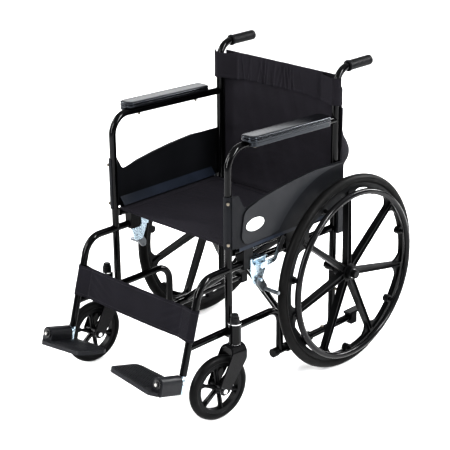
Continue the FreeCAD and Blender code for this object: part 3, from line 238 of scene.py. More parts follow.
def woven(name, color, pitch, rough=0.78):
    """Coated nylon cloth: a plain weave in the piece's own flat measure, with uneven threads."""
    mat, tree, surface = shader(name, color, rough, Sheen_Weight=0.06, Sheen_Roughness=0.4)
    surface.inputs["Specular IOR Level"].default_value = 0.1
    surface.inputs["Sheen Tint"].default_value = (0.55, 0.53, 0.62, 1)
    coords = tree.nodes.new("ShaderNodeUVMap")
    coords.uv_map = "flat"
    split = tree.nodes.new("ShaderNodeSeparateXYZ")
    tree.links.new(coords.outputs["UV"], split.inputs["Vector"])
    warp = math_node(tree, "SINE", math_node(tree, "MULTIPLY", split.outputs["X"], math.pi / pitch))
    weft = math_node(tree, "SINE", math_node(tree, "MULTIPLY", split.outputs["Y"], math.pi / pitch))
    weave = math_node(tree, "MULTIPLY", warp, weft)
    threads = math_node(tree, "ADD", weave, math_node(tree, "MULTIPLY", noise(tree, 1100, 2), 0.6))
    rubbed = noise(tree, 12, 5, 0.6)
    tone = ramp(tree, rubbed, [(0.3, [c * 0.82 for c in color]), (0.7, [c * 1.2 for c in color])])
    centred = math_node(tree, "ADD", math_node(tree, "MULTIPLY", weave, 0.5), 0.5)
    speck = ramp(tree, centred, [(0.0, (0.72,) * 3), (1.0, (1.0,) * 3)])
    blend = tree.nodes.new("ShaderNodeMix")
    blend.data_type = "RGBA"
    blend.blend_type = "MULTIPLY"
    blend.inputs["Factor"].default_value = 0.5
    tree.links.new(tone, blend.inputs["A"])
    tree.links.new(speck, blend.inputs["B"])
    tree.links.new(blend.outputs["Result"], surface.inputs["Base Color"])
    tree.links.new(spread(tree, rubbed, rough * 0.92, rough * 1.08), surface.inputs["Roughness"])
    first = bump(tree, surface, threads, 0.00018, 0.8)
    bump(tree, surface, noise(tree, 55, 3, 0.55), 0.0009, 0.4, first)
    return mat


def spun(name, color, rough):
    """Polyester thread: uneven dye and a fine twist."""
    mat, tree, surface = shader(name, color, rough)
    surface.inputs["Specular IOR Level"].default_value = 0.2
    varied(tree, surface, color, 0.3, 260)
    tree.links.new(spread(tree, noise(tree, 500, 2), rough * 0.85, rough * 1.15), surface.inputs["Roughness"])
    bump(tree, surface, noise(tree, 3200, 2), 0.00006)
    return mat


def axes(tree):
    """Object-space coordinates, X as its distance from the middle of the chair."""
    coords = tree.nodes.new("ShaderNodeTexCoord")
    split = tree.nodes.new("ShaderNodeSeparateXYZ")
    tree.links.new(coords.outputs["Object"], split.inputs["Vector"])
    return math_node(tree, "ABSOLUTE", split.outputs["X"]), split.outputs["Y"], split.outputs["Z"]


def stepped(tree, value, start, end, low, high):
    """A value turned from low to high as it passes from start to end."""
    node = tree.nodes.new("ShaderNodeMapRange")
    node.interpolation_type = "SMOOTHSTEP"
    for socket, number in zip(("From Min", "From Max", "To Min", "To Max"), (start, end, low, high)):
        node.inputs[socket].default_value = number
    tree.links.new(value, node.inputs["Value"])
    return node.outputs["Result"]


def two_tone(tree, factor, first, second):
    """First where the factor is 0, second where it is 1; each a colour or a socket."""
    node = tree.nodes.new("ShaderNodeMix")
    node.data_type = "RGBA"
    tree.links.new(factor, node.inputs["Factor"])
    for socket, value in ((node.inputs["A"], first), (node.inputs["B"], second)):
        if isinstance(value, tuple):
            socket.default_value = (*value, 1)
        else:
            tree.links.new(value, socket)
    return node.outputs["Result"]


def panel_plastic():
    """Charcoal moulding: a satin raised face in a lighter tone, and round it a flat base, channel and inner
    face in a darker tone; the two tones are painted light and painted shade.
    """
    mat, tree, surface = shader("panel_charcoal_plastic", (0.03, 0.0315, 0.036), 0.4)
    across, _, _ = axes(tree)
    raised = stepped(tree, across, PANEL_HIGH.x - 0.0042, PANEL_HIGH.x - 0.0004, 0, 1)
    flow = noise(tree, 9, 5, 0.6)
    # Painted light and shade: a lighter tone where the panel is raised, as if lit, and a darker tone on the
    # flat base, channel and inner face round it, as if shaded.
    painted_light_field = ramp(tree, flow, [(0.3, (0.0125, 0.0132, 0.0152)), (0.7, (0.017, 0.0178, 0.0203))])
    painted_shade_plate = ramp(tree, flow, [(0.3, (0.0085, 0.009, 0.0105)), (0.7, (0.0115, 0.012, 0.014))])
    tree.links.new(two_tone(tree, raised, painted_shade_plate, painted_light_field), surface.inputs["Base Color"])
    tree.links.new(stepped(tree, raised, 0, 1, 0.1, 0.2), surface.inputs["Specular IOR Level"])
    tree.links.new(spread(tree, noise(tree, 35, 5, 0.6), 0.34, 0.46), surface.inputs["Roughness"])
    bump(tree, surface, noise(tree, 1400, 3, 0.6), 0.00003)
    return mat


def label_print():
    """Glossy white label with a plain pale ring inside its edge."""
    mat, tree, surface = shader("oval_label", (0.8, 0.82, 0.8), 0.3, Coat_Weight=0.4)
    _, along, height = axes(tree)
    y = math_node(tree, "MULTIPLY", math_node(tree, "SUBTRACT", along, LABEL_Y), 1 / LABEL_HALF_LENGTH)
    z = math_node(tree, "MULTIPLY", math_node(tree, "SUBTRACT", height, LABEL_Z), 1 / LABEL_HALF_HEIGHT)
    square = math_node(tree, "ADD", math_node(tree, "MULTIPLY", y, y), math_node(tree, "MULTIPLY", z, z))
    inner, outer = stepped(tree, square, 0.5, 0.53, 0, 1), stepped(tree, square, 0.64, 0.67, 1, 0)
    ring = math_node(tree, "MULTIPLY", inner, outer)
    aged = ramp(tree, noise(tree, 60, 4), [(0.3, (0.74, 0.77, 0.73)), (0.7, (0.84, 0.86, 0.83))])
    tree.links.new(two_tone(tree, ring, aged, (0.3, 0.46, 0.4)), surface.inputs["Base Color"])
    return mat


def bolt_steel():
    """The footplate's end bolt: a bright domed head on a dark washer."""
    mat, tree, surface = shader("footplate_bolt_steel", (0.45, 0.44, 0.42), 0.25, 1.0)
    across, along, height = axes(tree)
    middle = centre("left_footplate_bolt")
    hinge = next(j for j in frame["record"]["behaviour"]["joints"] if j["name"] == "left_footplate_flip")
    _, ay, az = hinge["axis"]
    dx = math_node(tree, "SUBTRACT", across, middle.x)
    dy = math_node(tree, "MULTIPLY", math_node(tree, "SUBTRACT", along, middle.y), -az)
    dz = math_node(tree, "MULTIPLY", math_node(tree, "SUBTRACT", height, middle.z), ay)
    side = math_node(tree, "ADD", dy, dz)
    across_square = math_node(tree, "MULTIPLY", dx, dx)
    square = math_node(tree, "ADD", across_square, math_node(tree, "MULTIPLY", side, side))
    washer = stepped(tree, square, 0.0045 ** 2, 0.0052 ** 2, 0, 1)
    bright = ramp(tree, noise(tree, 120, 4), [(0.3, (0.36, 0.35, 0.34)), (0.7, (0.5, 0.49, 0.47))])
    tree.links.new(two_tone(tree, washer, bright, (0.012, 0.012, 0.013)), surface.inputs["Base Color"])
    tree.links.new(stepped(tree, washer, 0, 1, 1, 0), surface.inputs["Metallic"])
    tree.links.new(spread(tree, noise(tree, 160, 4), 0.2, 0.34), surface.inputs["Roughness"])
    return mat


TUBE = painted("black_gloss_tube", (0.0018, 0.0018, 0.0021), 0.11, 0.000012, 0.03, shine=0.18)
HANDRIM = painted("handrim_coat", (0.006, 0.006, 0.0065), 0.18, 0.00003, 0.03)
FORK = painted("fork_satin_coat", (0.0045, 0.0045, 0.005), 0.2, 0.000012, 0.02, shine=0.2)
PANEL = panel_plastic()
WHEEL = moulded("wheel_grey_nylon", (0.0058, 0.006, 0.0065), 0.4, 0.00004, 1200)
CAP = moulded("black_plastic", (0.007, 0.007, 0.0077), 0.38, 0.00004)
STRIP = moulded("edge_strip_plastic", (0.014, 0.018, 0.027), 0.42, 0.00004, shine=0.2)
FOOT = moulded("footplate_plastic", (0.012, 0.0125, 0.0145), 0.4, 0.00005, shine=0.2)
PAD = skinned("pad_skin_foam", (0.0055, 0.0055, 0.0065), 0.26)
TYRE = rubbery("tyre_rubber", (0.0048, 0.0047, 0.0047), 0.48, 1500, 0.00006)
CASTER_TYRE = rubbery("caster_tyre_rubber", (0.005, 0.005, 0.0052), 0.38, 1500, 0.00005)
GRIP = rubbery("grip_rubber", (0.009, 0.009, 0.0098), 0.36, 1600, 0.00004)
ZINC = plated("bluish_zinc", (0.5, 0.6, 0.67), 0.27, (1, 1, 5), 0.12)
STEEL = plated("plated_screws", (0.2, 0.18, 0.15), 0.32, (1, 1, 1), 0.15)
ROD = plated("dark_plated_rod", (0.16, 0.17, 0.18), 0.34, (1, 1, 1), 0.15)
BEARING = plated("bright_bearing_steel", (0.66, 0.66, 0.67), 0.2, (1, 1, 4), 0.1)
CLOTH = woven("black_nylon", (0.0125, 0.0115, 0.0145), 0.0007)
STRAP_CLOTH = woven("strap_nylon", (0.009, 0.0085, 0.0112), 0.0009)
THREAD = spun("stitch_thread", (0.03, 0.029, 0.034), 0.6)
STICKER = label_print()
BOLT = bolt_steel()

NODE_FINISH = {
    "side_frame": TUBE, "side_panel": PANEL, "frame_screws": STEEL, "mag_wheel": WHEEL, "tyre": TYRE,
    "handrim": HANDRIM, "wheel_bearings": BEARING, "wheel_axle": CAP, "caster_tyre": CASTER_TYRE,
    "caster_wheel": WHEEL, "caster_fork": FORK, "caster_axle": BEARING, "caster_dust_cap": CAP,
    "caster_bearings": BEARING, "wheel_lock_bracket": ZINC, "wheel_lock_lever": ZINC,
    "wheel_lock_grip": CAP, "wheel_lock_shoe_arm": ROD, "seat_saddles": CAP, "seat_edge_strip": STRIP,
    "footrest_post": ZINC, "footplate": FOOT, "footplate_bolt": BOLT, "rail_end_caps": CAP,
    "armrest_pad": PAD, "push_grip": GRIP, "seat_sling": CLOTH, "back_upholstery": CLOTH,
    "front_cross_brace": TUBE, "rear_cross_brace": TUBE, "brace_bolt": STEEL, "calf_strap": STRAP_CLOTH,
}


def dress_nodes():
    """Give every CAD node its finish."""
    for name, obj in NODES.items():
        family = name.removeprefix("left_").removeprefix("right_")
        finish = NODE_FINISH.get(family, CAP)
        if obj.data.materials:
            for i in range(len(obj.data.materials)):
                obj.data.materials[i] = finish
        else:
            obj.data.materials.append(finish)


dress_nodes()


# ---------------------------------------------------------------- cloth and sewn pieces

def smooth_step(value, start, end):
    """0 before start, 1 past end, and an easy turn between."""
    t = np.clip((np.asarray(value, float) - start) / (end - start), 0, 1)
    return t * t * (3 - 2 * t)


def ripple(along, lengths, seed):
    """Uneven waves about -1..1: sines of seeded length and phase."""
    rng = np.random.default_rng(seed)
    total = np.zeros_like(along)
    for length in lengths:
        drawn = length * rng.uniform(0.85, 1.15)
        total = total + np.sin(2 * math.pi * along / drawn + rng.uniform(0, 6.28))
    return total / len(lengths)


def spaced(stops):
    """Sample places from (place, samples to the next place) stops."""
    runs = [np.linspace(a, b, count, endpoint=False) for (a, count), (b, _) in zip(stops, stops[1:])]
    return np.concatenate([*runs, [stops[-1][0]]])


def normals_of(rows):
    """Unit normals of a grid of points."""
    across = np.cross(np.gradient(rows, axis=0), np.gradient(rows, axis=1))
    return across / np.maximum(np.linalg.norm(across, axis=2, keepdims=True), 1e-12)


def mesh_object(name, points, faces, finish, flat=None):
    """A smooth-shaded mesh object, with its flat measure in metres as a UV map."""
    mesh = bpy.data.meshes.new(name)
    mesh.from_pydata([tuple(p) for p in points], [], faces)
    mesh.materials.append(finish)
    if flat is not None:
        layer = mesh.uv_layers.new(name="flat")
        corner = np.empty(len(mesh.loops), dtype=np.int32)
        mesh.loops.foreach_get("vertex_index", corner)
        layer.data.foreach_set("uv", np.asarray(flat, np.float32)[corner].ravel())
    mesh.shade_smooth()
    obj = bpy.data.objects.new(name, mesh)
    bpy.context.scene.collection.objects.link(obj)
    return obj


def cloth(name, rows, thick, finish):
    """A sheet over a grid of mid-surface points, with two faces, a rim and its hems' thickness."""
    n, m = rows.shape[:2]
    offset = normals_of(rows) * (np.broadcast_to(thick, (n, m))[..., None] / 2)
    along = np.concatenate([[0], np.cumsum(np.linalg.norm(np.diff(rows, axis=0), axis=2).mean(axis=1))])
    across = np.concatenate([[0], np.cumsum(np.linalg.norm(np.diff(rows, axis=1), axis=2).mean(axis=0))])
    flat = np.stack(np.meshgrid(along, across, indexing="ij"), axis=2).reshape(-1, 2)
    points = np.concatenate([(rows + offset).reshape(-1, 3), (rows - offset).reshape(-1, 3)])
    back = n * m
    faces = []
    for i in range(n - 1):
        for j in range(m - 1):
            a, b, c, d = i * m + j, (i + 1) * m + j, (i + 1) * m + j + 1, i * m + j + 1
            faces.append((a, b, c, d))
            faces.append((back + d, back + c, back + b, back + a))
    for i in range(n - 1):
        for a, b in ((i * m, (i + 1) * m), ((i + 2) * m - 1, (i + 1) * m - 1)):
            faces.append((a, back + a, back + b, b))
    for j in range(m - 1):
        for a, b in ((j + 1, j), ((n - 1) * m + j, (n - 1) * m + j + 1)):
            faces.append((a, back + a, back + b, b))
    return mesh_object(name, points, faces, finish, np.concatenate([flat, flat]))


def hemmed(distance, width, thin, thickened):
    """The cloth's thickness a distance from its edge, where a hem of that width is folded over."""
    return thickened - (thickened - thin) * smooth_step(distance, width - 0.0012, width)


STITCH_PITCH = 0.0034


def stitches(name, lines, finish, lift=0.0002):
    """Sewn rows: short rounded threads along lines, each of them (points, normals)."""
    points, faces = [], []
    profile = [(-0.5, 0.15), (-0.36, 0.85), (0.0, 1.0), (0.36, 0.85), (0.5, 0.15)]
    for line, out in lines:
        run = np.concatenate([[0], np.cumsum(np.linalg.norm(np.diff(line, axis=0), axis=1))])
        places = np.arange(STITCH_PITCH / 2, run[-1], STITCH_PITCH)
        for place in places:
            ends = [np.array([np.interp(place + d, run, line[:, k]) for k in range(3)])
                    for d in (-0.0006, 0.0006)]
            up = np.array([np.interp(place, run, out[:, k]) for k in range(3)])
            way = (ends[1] - ends[0]) / max(np.linalg.norm(ends[1] - ends[0]), 1e-9)
            side = np.cross(up, way)
            middle = (ends[0] + ends[1]) / 2 + up * lift
            start = len(points)
            for step, width in profile:
                for turn in range(5):
                    angle = turn * math.tau / 5
                    ring = side * math.cos(angle) + up * math.sin(angle) * 0.8
                    points.append(middle + way * step * 0.0026 + ring * width * 0.00042)
            for r in range(len(profile) - 1):
                for turn in range(5):
                    a, b = start + r * 5 + turn, start + r * 5 + (turn + 1) % 5
                    faces.append((a, b, b + 5, a + 5))
            faces.append(tuple(start + k for k in range(4, -1, -1)))
            faces.append(tuple(start + 20 + k for k in range(5)))
    return mesh_object(name, points, faces, finish)


def line_on(rows, thick, i=None, j=None, flip=1):
    """A grid line on the face of a sheet, with its normals, for stitches; i or j picks the line."""
    out = normals_of(rows) * flip
    face = rows + out * (np.broadcast_to(thick, rows.shape[:2])[..., None] / 2)
    pick = (i, slice(None)) if i is not None else (slice(None), j)
    return face[pick], out[pick]


def nearest(places, value):
    """The index of the sample nearest to a value."""
    return int(np.argmin(np.abs(np.asarray(places) - value)))


def rides_seat(obj):
    """The seat is stretched from one brace half's rail to the other's; its placement is baked into its mesh.
    """
    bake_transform(obj)


def rides_frames(obj):
    """Cloth between the two side frames is attached to the left one, on its own copy of its mesh."""
    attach(obj, "left_side")
    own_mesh(obj)


# ---------------------------------------------------------------- seat

def seat():
    """The nylon seat: stretched over both rails, hemmed front and back, with a sewn casing at each rail."""
    wide, crown = FRAME_X, 0.0122
    turn = np.radians(np.linspace(34, 0, 7))
    side = spaced([(wide, 12), (wide - 0.0262, 2), (wide - 0.0278, 2), (wide - 0.04, 6), (wide - 0.1, 12),
                   (0, 1)])[1:]
    xs = np.concatenate([wide + crown * np.sin(turn), side])
    zs = np.concatenate([crown * np.cos(turn), np.full(len(side), crown)])
    xs, zs = np.concatenate([xs, -xs[-2::-1]]), np.concatenate([zs, zs[-2::-1]])
    y0, y1 = SLING_LOW.y + 0.0005, SLING_HIGH.y - 0.0005
    ys = spaced([(y0, 8), (y0 + 0.0115, 1), (y0 + 0.0127, 2), (y0 + 0.0145, 60), (y1 - 0.0145, 2),
                 (y1 - 0.0127, 1), (y1 - 0.0115, 8), (y1, 1)])
    x, y = np.meshgrid(xs, ys, indexing="ij")
    inside = np.clip(1 - (x / (wide - 0.004)) ** 2, 0, None)
    sag = inside * (0.0035 + 0.0022 * np.sin(math.pi * (y - y0) / (y1 - y0)))
    z = RAIL_Z + zs[:, None] - sag
    pull = smooth_step(wide - np.abs(x), 0.028, 0.06) * smooth_step(wide - np.abs(x), 0.23, 0.09)
    z = z + pull * 0.00045 * ripple(y + 0.35 * np.abs(x), [0.034, 0.021, 0.055], 3)
    z = z + inside * 0.0005 * ripple(x * 0.6 + y, [0.12, 0.075], 5)
    y = y + (1 - 2 * (y - y0) / (y1 - y0)) * 0.0045 * inside
    rows = np.stack([x, y, z], axis=2)
    edge = np.minimum(ys - y0, y1 - ys)[None, :]
    casing = (wide + crown - np.abs(xs))[:, None]
    thick = np.maximum(hemmed(edge, 0.0145, 0.0014, 0.0031), hemmed(casing, crown + 0.0285, 0.0014, 0.0024))
    thick = np.minimum(thick, np.where(np.abs(xs)[:, None] > wide - 0.012, 0.0018, 0.01))
    sheet = cloth("seat_cloth", rows[::-1], thick[::-1], CLOTH)
    rows, thick = rows[::-1], thick[::-1]
    lines = [line_on(rows, thick, j=nearest(ys, y)) for y in (y0 + 0.0115, y1 - 0.0115)]
    lines += [line_on(rows, thick, i=nearest(rows[:, 0, 0], s * (wide - 0.0262))) for s in (1, -1)]
    threads = stitches("seat_stitches", lines, THREAD)
    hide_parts("left_seat_sling", "right_seat_sling")
    rides_seat(sheet)
    rides_seat(threads)


# ---------------------------------------------------------------- back

BAND_LOW = 0.817
BAND_TOP = BACK_HIGH.z
LOOP_RADIUS = 0.0134
SEAM_X = FRAME_X - 0.066
FRONT_LAYER = 0.0102


def band_path(start_angle, count_loop=24, count_flat=14, count_middle=260):
    """The band in plan, from behind the left cane round its outside to the front, across and back."""
    reach = math.hypot(FRAME_X - SEAM_X, FRONT_LAYER)
    leave = math.degrees(math.atan2(FRONT_LAYER, SEAM_X - FRAME_X) + math.acos(LOOP_RADIUS / reach)) - 360
    angles = np.radians(np.linspace(start_angle, leave, count_loop))
    slack = 0.0055 * np.clip(np.cos(angles - math.radians(35)), 0, 1)
    radius = LOOP_RADIUS + slack
    loop = np.stack([FRAME_X + radius * np.cos(angles), radius * np.sin(angles)], axis=1)
    share = np.linspace(0, 1, count_flat)[1:, None]
    flat = loop[-1] * (1 - share) + np.array([SEAM_X, FRONT_LAYER]) * share
    half = np.concatenate([loop, flat])
    middle = np.linspace(SEAM_X, -SEAM_X, count_middle)[1:-1]
    middle = np.stack([middle, np.full(len(middle), FRONT_LAYER)], axis=1)
    return np.concatenate([half, middle, (half * [-1, 1])[::-1]])


def gathers(x, level, seed=11):
    """How far the gathered cloth dips back at its creases: uneven, slanted and deepest in the middle."""
    rng = np.random.default_rng(seed)
    dip = np.zeros_like(x)
    for _ in range(26):
        place = np.clip(rng.normal(0, 0.075), -0.155, 0.155)
        slant, width, depth = rng.normal(0, 0.16), rng.uniform(0.0022, 0.0052), rng.uniform(0.0007, 0.0024)
        dip = dip + depth * np.exp(-((x - place - slant * (level - 0.04)) / width) ** 2)
    return np.minimum(dip, 0.0034)


def back_band():
    """The top band, doubled round both canes and gathered between its two seams."""
    levels = spaced([(0.0, 5), (0.0085, 1), (0.0095, 2), (0.012, 18), (BAND_TOP - BAND_LOW - 0.003, 1)])
    over = np.radians(np.linspace(0, 115, 7))[1:]
    rows = []
    for level in [*levels, *([levels[-1]] * len(over))]:
        k = len(rows)
        curl = over[k - len(levels)] if k >= len(levels) else 0.0
        height = BAND_LOW + level
        path = band_path(90 - 84 * float(smooth_step(height, 0.863, 0.874)))
        x = path[:, 0]
        inner = smooth_step(SEAM_X - np.abs(x), 0.0, 0.016)
        calm = 1 - 0.6 * smooth_step(level, 0.055, 0.083)
        y = CANE_Y + path[:, 1] - inner * (0.0034 - gathers(x, level)) * calm
        hang = 1 - level / (BAND_TOP - BAND_LOW)
        raised = 0.0072 * smooth_step(SEAM_X - np.abs(x), -0.004, 0.045)
        scallop = 0.0011 * ripple(x, [0.033, 0.019], 12) * inner
        z = height + hang * (raised + scallop)
        sewn = smooth_step(SEAM_X + 0.006 - np.abs(x), -0.008, 0.008)
        loose = (1 - sewn) * (1 - hang) ** 3 * smooth_step(FRAME_X + 0.004 - np.abs(x), 0.0, 0.02)
        z = z + 0.0022 * math.sin(curl) * sewn - 0.0035 * loose
        y = y + 0.0021 * (1 - math.cos(curl)) * sewn
        rows.append(np.stack([x, y, z], axis=1))
    rows = np.stack(rows, axis=1)
    levels = np.concatenate([levels, np.full(len(over), levels[-1])])
    thick = np.broadcast_to(hemmed(levels[None, :], 0.0095, 0.0012, 0.0024), rows.shape[:2])
    band = cloth("back_band_cloth", rows, thick, CLOTH)
    side = rows[:, 0, 0]
    first, last = nearest(side[:60], SEAM_X), len(side) - 1 - nearest(side[::-1][:60], -SEAM_X)
    keep = len(levels) - len(over)
    lines = [tuple(v[:keep] for v in line_on(rows, thick, i=i))
             for i in (first - 1, first - 2, last + 1, last + 2)]
    lines.append(line_on(rows, thick, j=nearest(levels, 0.0085)))
    threads = stitches("back_band_stitches", lines, THREAD)
    return [band, threads]


def back_panel():
    """The back cloth behind the canes, with soft folds, hemmed at its foot."""
    low, high = BACK_LOW.z, BAND_TOP
    zs = spaced([(low, 6), (low + 0.016, 1), (low + 0.0172, 2), (low + 0.02, 70), (0.862, 8), (0.876, 8),
                 (high, 1)])
    share = np.linspace(1, -1, 121)
    half = FRAME_X + 0.0125 + 0.004 * smooth_step(zs, 0.668, 0.69)
    half = half - 0.017 * smooth_step(zs, 0.806, 0.815) - 0.0155 * smooth_step(zs, 0.863, 0.872)
    x = share[:, None] * half[None, :]
    z = np.broadcast_to(zs[None, :], x.shape).copy()
    free = np.clip(1 - (x / FRAME_X) ** 2, 0, None)
    down = (high - z) / (high - low)
    belly = 0.0016 * free
    folds = 0.0011 * ripple(x * 0.9 + 0.3 * z, [0.11, 0.07, 0.045], 21) * free ** 0.5
    slack = 0.0009 * ripple(z + 0.25 * np.abs(x), [0.06, 0.035], 22) * free ** 0.5
    slack = slack * smooth_step(down, 0.1, 0.9)
    y = CANE_Y + 0.0136 + belly + folds + slack
    z = z + 0.006 * free * smooth_step(down, 0.75, 1.0)
    rows = np.stack([x, y, z], axis=2)
    edge = (zs - low)[None, :]
    side = (half[None, :] - np.abs(x))
    thick = np.maximum(hemmed(edge, 0.0172, 0.0013, 0.0026), hemmed(side, 0.006, 0.0013, 0.0016))
    panel = cloth("back_cloth", rows, thick, CLOTH)
    lines = [line_on(rows, thick, j=nearest(zs, low + 0.016), flip=f) for f in (1, -1)]
    threads = stitches("back_stitches", lines, THREAD)
    return [panel, threads]


def smooth_line(points, count):
    """A smooth line through points, sampled evenly along their numbering."""
    points = np.array(points, float)
    ends = np.vstack([2 * points[0] - points[1], points, 2 * points[-1] - points[-2]])
    places = np.linspace(0, len(points) - 1, count)
    made = []
    for place in places:
        i = min(int(place), len(points) - 2)
        t = place - i
        a, b, c, d = ends[i:i + 4]
        curve = (2 * a - 5 * b + 4 * c - d) * t ** 2 + (3 * b - a - 3 * c + d) * t ** 3
        made.append(0.5 * (2 * b + (c - a) * t + curve))
    return np.array(made)


def back_pocket():
    """The slack pocket on the rear of the back, open at its top."""
    reach, turn = FRAME_X + 0.008, 0.014
    depths = [(0.0235, 0.8115), (0.026, 0.79), (0.0305, 0.745), (0.053, 0.706), (0.0735, 0.672),
              (0.0725, 0.646), (0.056, 0.6265), (0.037, 0.6185), (0.0212, 0.617)]
    profile = smooth_line(depths, 64)
    edge = np.cos(np.linspace(0, math.pi / 2, 10))
    xs = np.concatenate([reach - turn + turn * edge, np.linspace(reach - turn, turn - reach, 90)[1:-1],
                         turn - reach - turn * edge[::-1]])
    fulls = np.sqrt(1 - np.clip((np.abs(xs) - reach + turn) / turn, 0, 1) ** 2)
    rows = []
    for x, full in zip(xs, fulls):
        falls = smooth_step(0.8115 - profile[:, 1], 0.0, 0.06)
        crease = 0.0016 * ripple(x + 0.2 * profile[:, 1], [0.085, 0.05, 0.031], 31)
        sag = 0.0012 * ripple(profile[:, 1] + 0.1 * abs(x), [0.045, 0.03], 32)
        depth = (profile[:, 0] - 0.0208 + (crease + sag) * falls) * full
        depth = depth - 0.006 * (1 - (x / reach) ** 2) * full * falls * smooth_step(profile[:, 0], 0.03, 0.07)
        lip = -0.004 * (1 - (x / reach) ** 4) * smooth_step(profile[:, 1], 0.76, 0.8115)
        y = AXLE.y + 0.0212 + depth
        rows.append(np.stack([np.full(len(profile), x), y, profile[:, 1] + lip], axis=1))
    rows = np.array(rows)[:, ::-1]
    run = np.concatenate([[0], np.cumsum(np.linalg.norm(np.diff(profile, axis=0), axis=1))])[::-1]
    thick = np.broadcast_to(hemmed(run[None, :], 0.017, 0.0012, 0.0023), rows.shape[:2])
    pocket = cloth("back_pocket_cloth", rows, thick, CLOTH)
    threads = stitches("back_pocket_stitches", [line_on(rows, thick, j=nearest(run, 0.015))], THREAD)
    return [pocket, threads]


def back():
    """The back upholstery, sewn from a panel, its doubled band and the pocket."""
    made = [*back_panel(), *back_band(), *back_pocket()]
    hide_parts("left_back_upholstery", "right_back_upholstery")
    for obj in made:
        rides_frames(obj)


# ---------------------------------------------------------------- calf strap

HANGER_TILT = math.atan2(0.074, 0.264)


def calf_strap():
    """A doubled band of cloth, sewn into a sleeve round each hanger tube."""
    up = np.array([0, math.sin(HANGER_TILT), math.cos(HANGER_TILT)])
    ahead = np.array([0, -math.cos(HANGER_TILT), math.sin(HANGER_TILT)])
    standoff = 0.0145
    foot = np.array([0, STRAP_LOW.y + standoff * math.cos(HANGER_TILT),
                     STRAP_LOW.z + standoff * math.sin(HANGER_TILT)])
    tall = 0.0914
    radius, gap, seam = 0.0124, 0.0008, 0.043
    lean = math.acos(radius / math.hypot(seam, gap))
    angles = np.linspace(math.pi - lean, lean - math.pi, 26)
    sleeve = np.stack([FRAME_X + radius * np.cos(angles), -radius * np.sin(angles)], axis=1)
    inner = FRAME_X - seam
    flat = np.linspace(0, 1, 10)[1:, None]
    to_seam = sleeve[-1] * (1 - flat) + np.array([inner, gap]) * flat
    middle = np.linspace(inner, 0, 60)[1:]
    front = np.stack([middle, np.full(len(middle), gap)], axis=1)
    rear = np.stack([middle[::-1], np.full(len(middle), -gap)], axis=1)
    from_seam = sleeve[0] + (np.array([inner, -gap]) - sleeve[0]) * flat[:-1][::-1]
    start = np.concatenate([rear, [[inner, -gap]], from_seam, sleeve, to_seam, front])
    loop = np.concatenate([start, (start * [-1, 1])[::-1][1:]])
    levels = spaced([(0.0, 4), (0.0075, 1), (0.0085, 2), (0.0105, 22), (tall - 0.0105, 2), (tall - 0.0085, 1),
                     (tall - 0.0075, 4), (tall, 1)])
    rows = []
    for level in levels:
        x, n = loop[:, 0], loop[:, 1]
        free = smooth_step(inner - np.abs(x), 0.0, 0.05)
        ends = smooth_step(inner - np.abs(x), 0.0, 0.012) * smooth_step(inner - np.abs(x), 0.13, 0.03)
        bow = 0.0009 * ripple(x + 0.15 * level, [0.17, 0.098], 41) * free
        crease = 0.0011 * ripple(level + 0.5 * (inner - np.abs(x)), [0.021, 0.032], 42) * ends
        drop = 0.002 * free * np.cos(x / inner * math.pi / 2)
        place = foot + np.outer(x, [1, 0, 0]) + np.outer(n + bow + crease, ahead) + np.outer(level - drop, up)
        rows.append(place)
    rows = np.stack(rows, axis=1)[::-1]
    edge = np.minimum(levels, tall - levels)[None, :]
    thick = np.broadcast_to(hemmed(edge, 0.0085, 0.0011, 0.0015), rows.shape[:2])
    strap = cloth("calf_strap_cloth", rows, thick, STRAP_CLOTH)
    x = rows[:, 0, 0]
    fronts = [k for k in range(len(x)) if (rows[k, 5] - foot) @ ahead > 0 and abs(x[k]) < inner + 0.004]
    lines = []
    for target in (inner - 0.001, inner - 0.004, 0.001 - inner, 0.004 - inner):
        k = min(fronts, key=lambda k: abs(x[k] - target))
        lines.append(line_on(rows, thick, i=k))
    for j in (nearest(levels, 0.0075), nearest(levels, tall - 0.0075)):
        line, out = line_on(rows, thick, j=j)
        lines.append((line[fronts[0]:fronts[-1] + 1], out[fronts[0]:fronts[-1] + 1]))
    facing = 1 if lines[0][1][0] @ ahead > 0 else -1
    if facing < 0:
        lines = [(line - 2 * 0.0006 * out, -out) for line, out in lines]
    threads = stitches("calf_strap_stitches", lines, THREAD)
    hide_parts("calf_strap")
    for obj in (strap, threads):
        rides_frames(obj)


# ---------------------------------------------------------------- pads, grips and labels

def outline(half, length, front, rear, inset, count=15):
    """A rectangle with round corners in plan, drawn in by inset; x across and y from its front."""
    corners = [(half, 0.0, front, -90), (half, length, rear, 0), (-half, length, rear, 90),
               (-half, 0.0, front, 180)]
    made = []
    for x, y, radius, start in corners:
        cx = x - math.copysign(radius, x)
        cy = y + radius if y == 0 else y - radius
        small = max(radius - inset, 0.0004)
        cx_shift = math.copysign(max(inset - radius, 0), x)
        for k in range(count):
            angle = math.radians(start + 90 * k / (count - 1))
            made.append((cx - cx_shift + small * math.cos(angle), cy + small * math.sin(angle)))
    return made


def tiered(rings, place):
    """Closed lofted tiers: rings of (outline, height) pairs joined upwards and closed at both ends."""
    points, faces = [], []
    for ring, height in rings:
        points += [place(x, y, height) for x, y in ring]
    count = len(rings[0][0])
    for level in range(len(rings) - 1):
        for k in range(count):
            a, b = level * count + k, level * count + (k + 1) % count
            faces.append((a, b, b + count, a + count))
    faces.append(tuple(range(count))[::-1])
    faces.append(tuple((len(rings) - 1) * count + k for k in range(count)))
    return points, faces


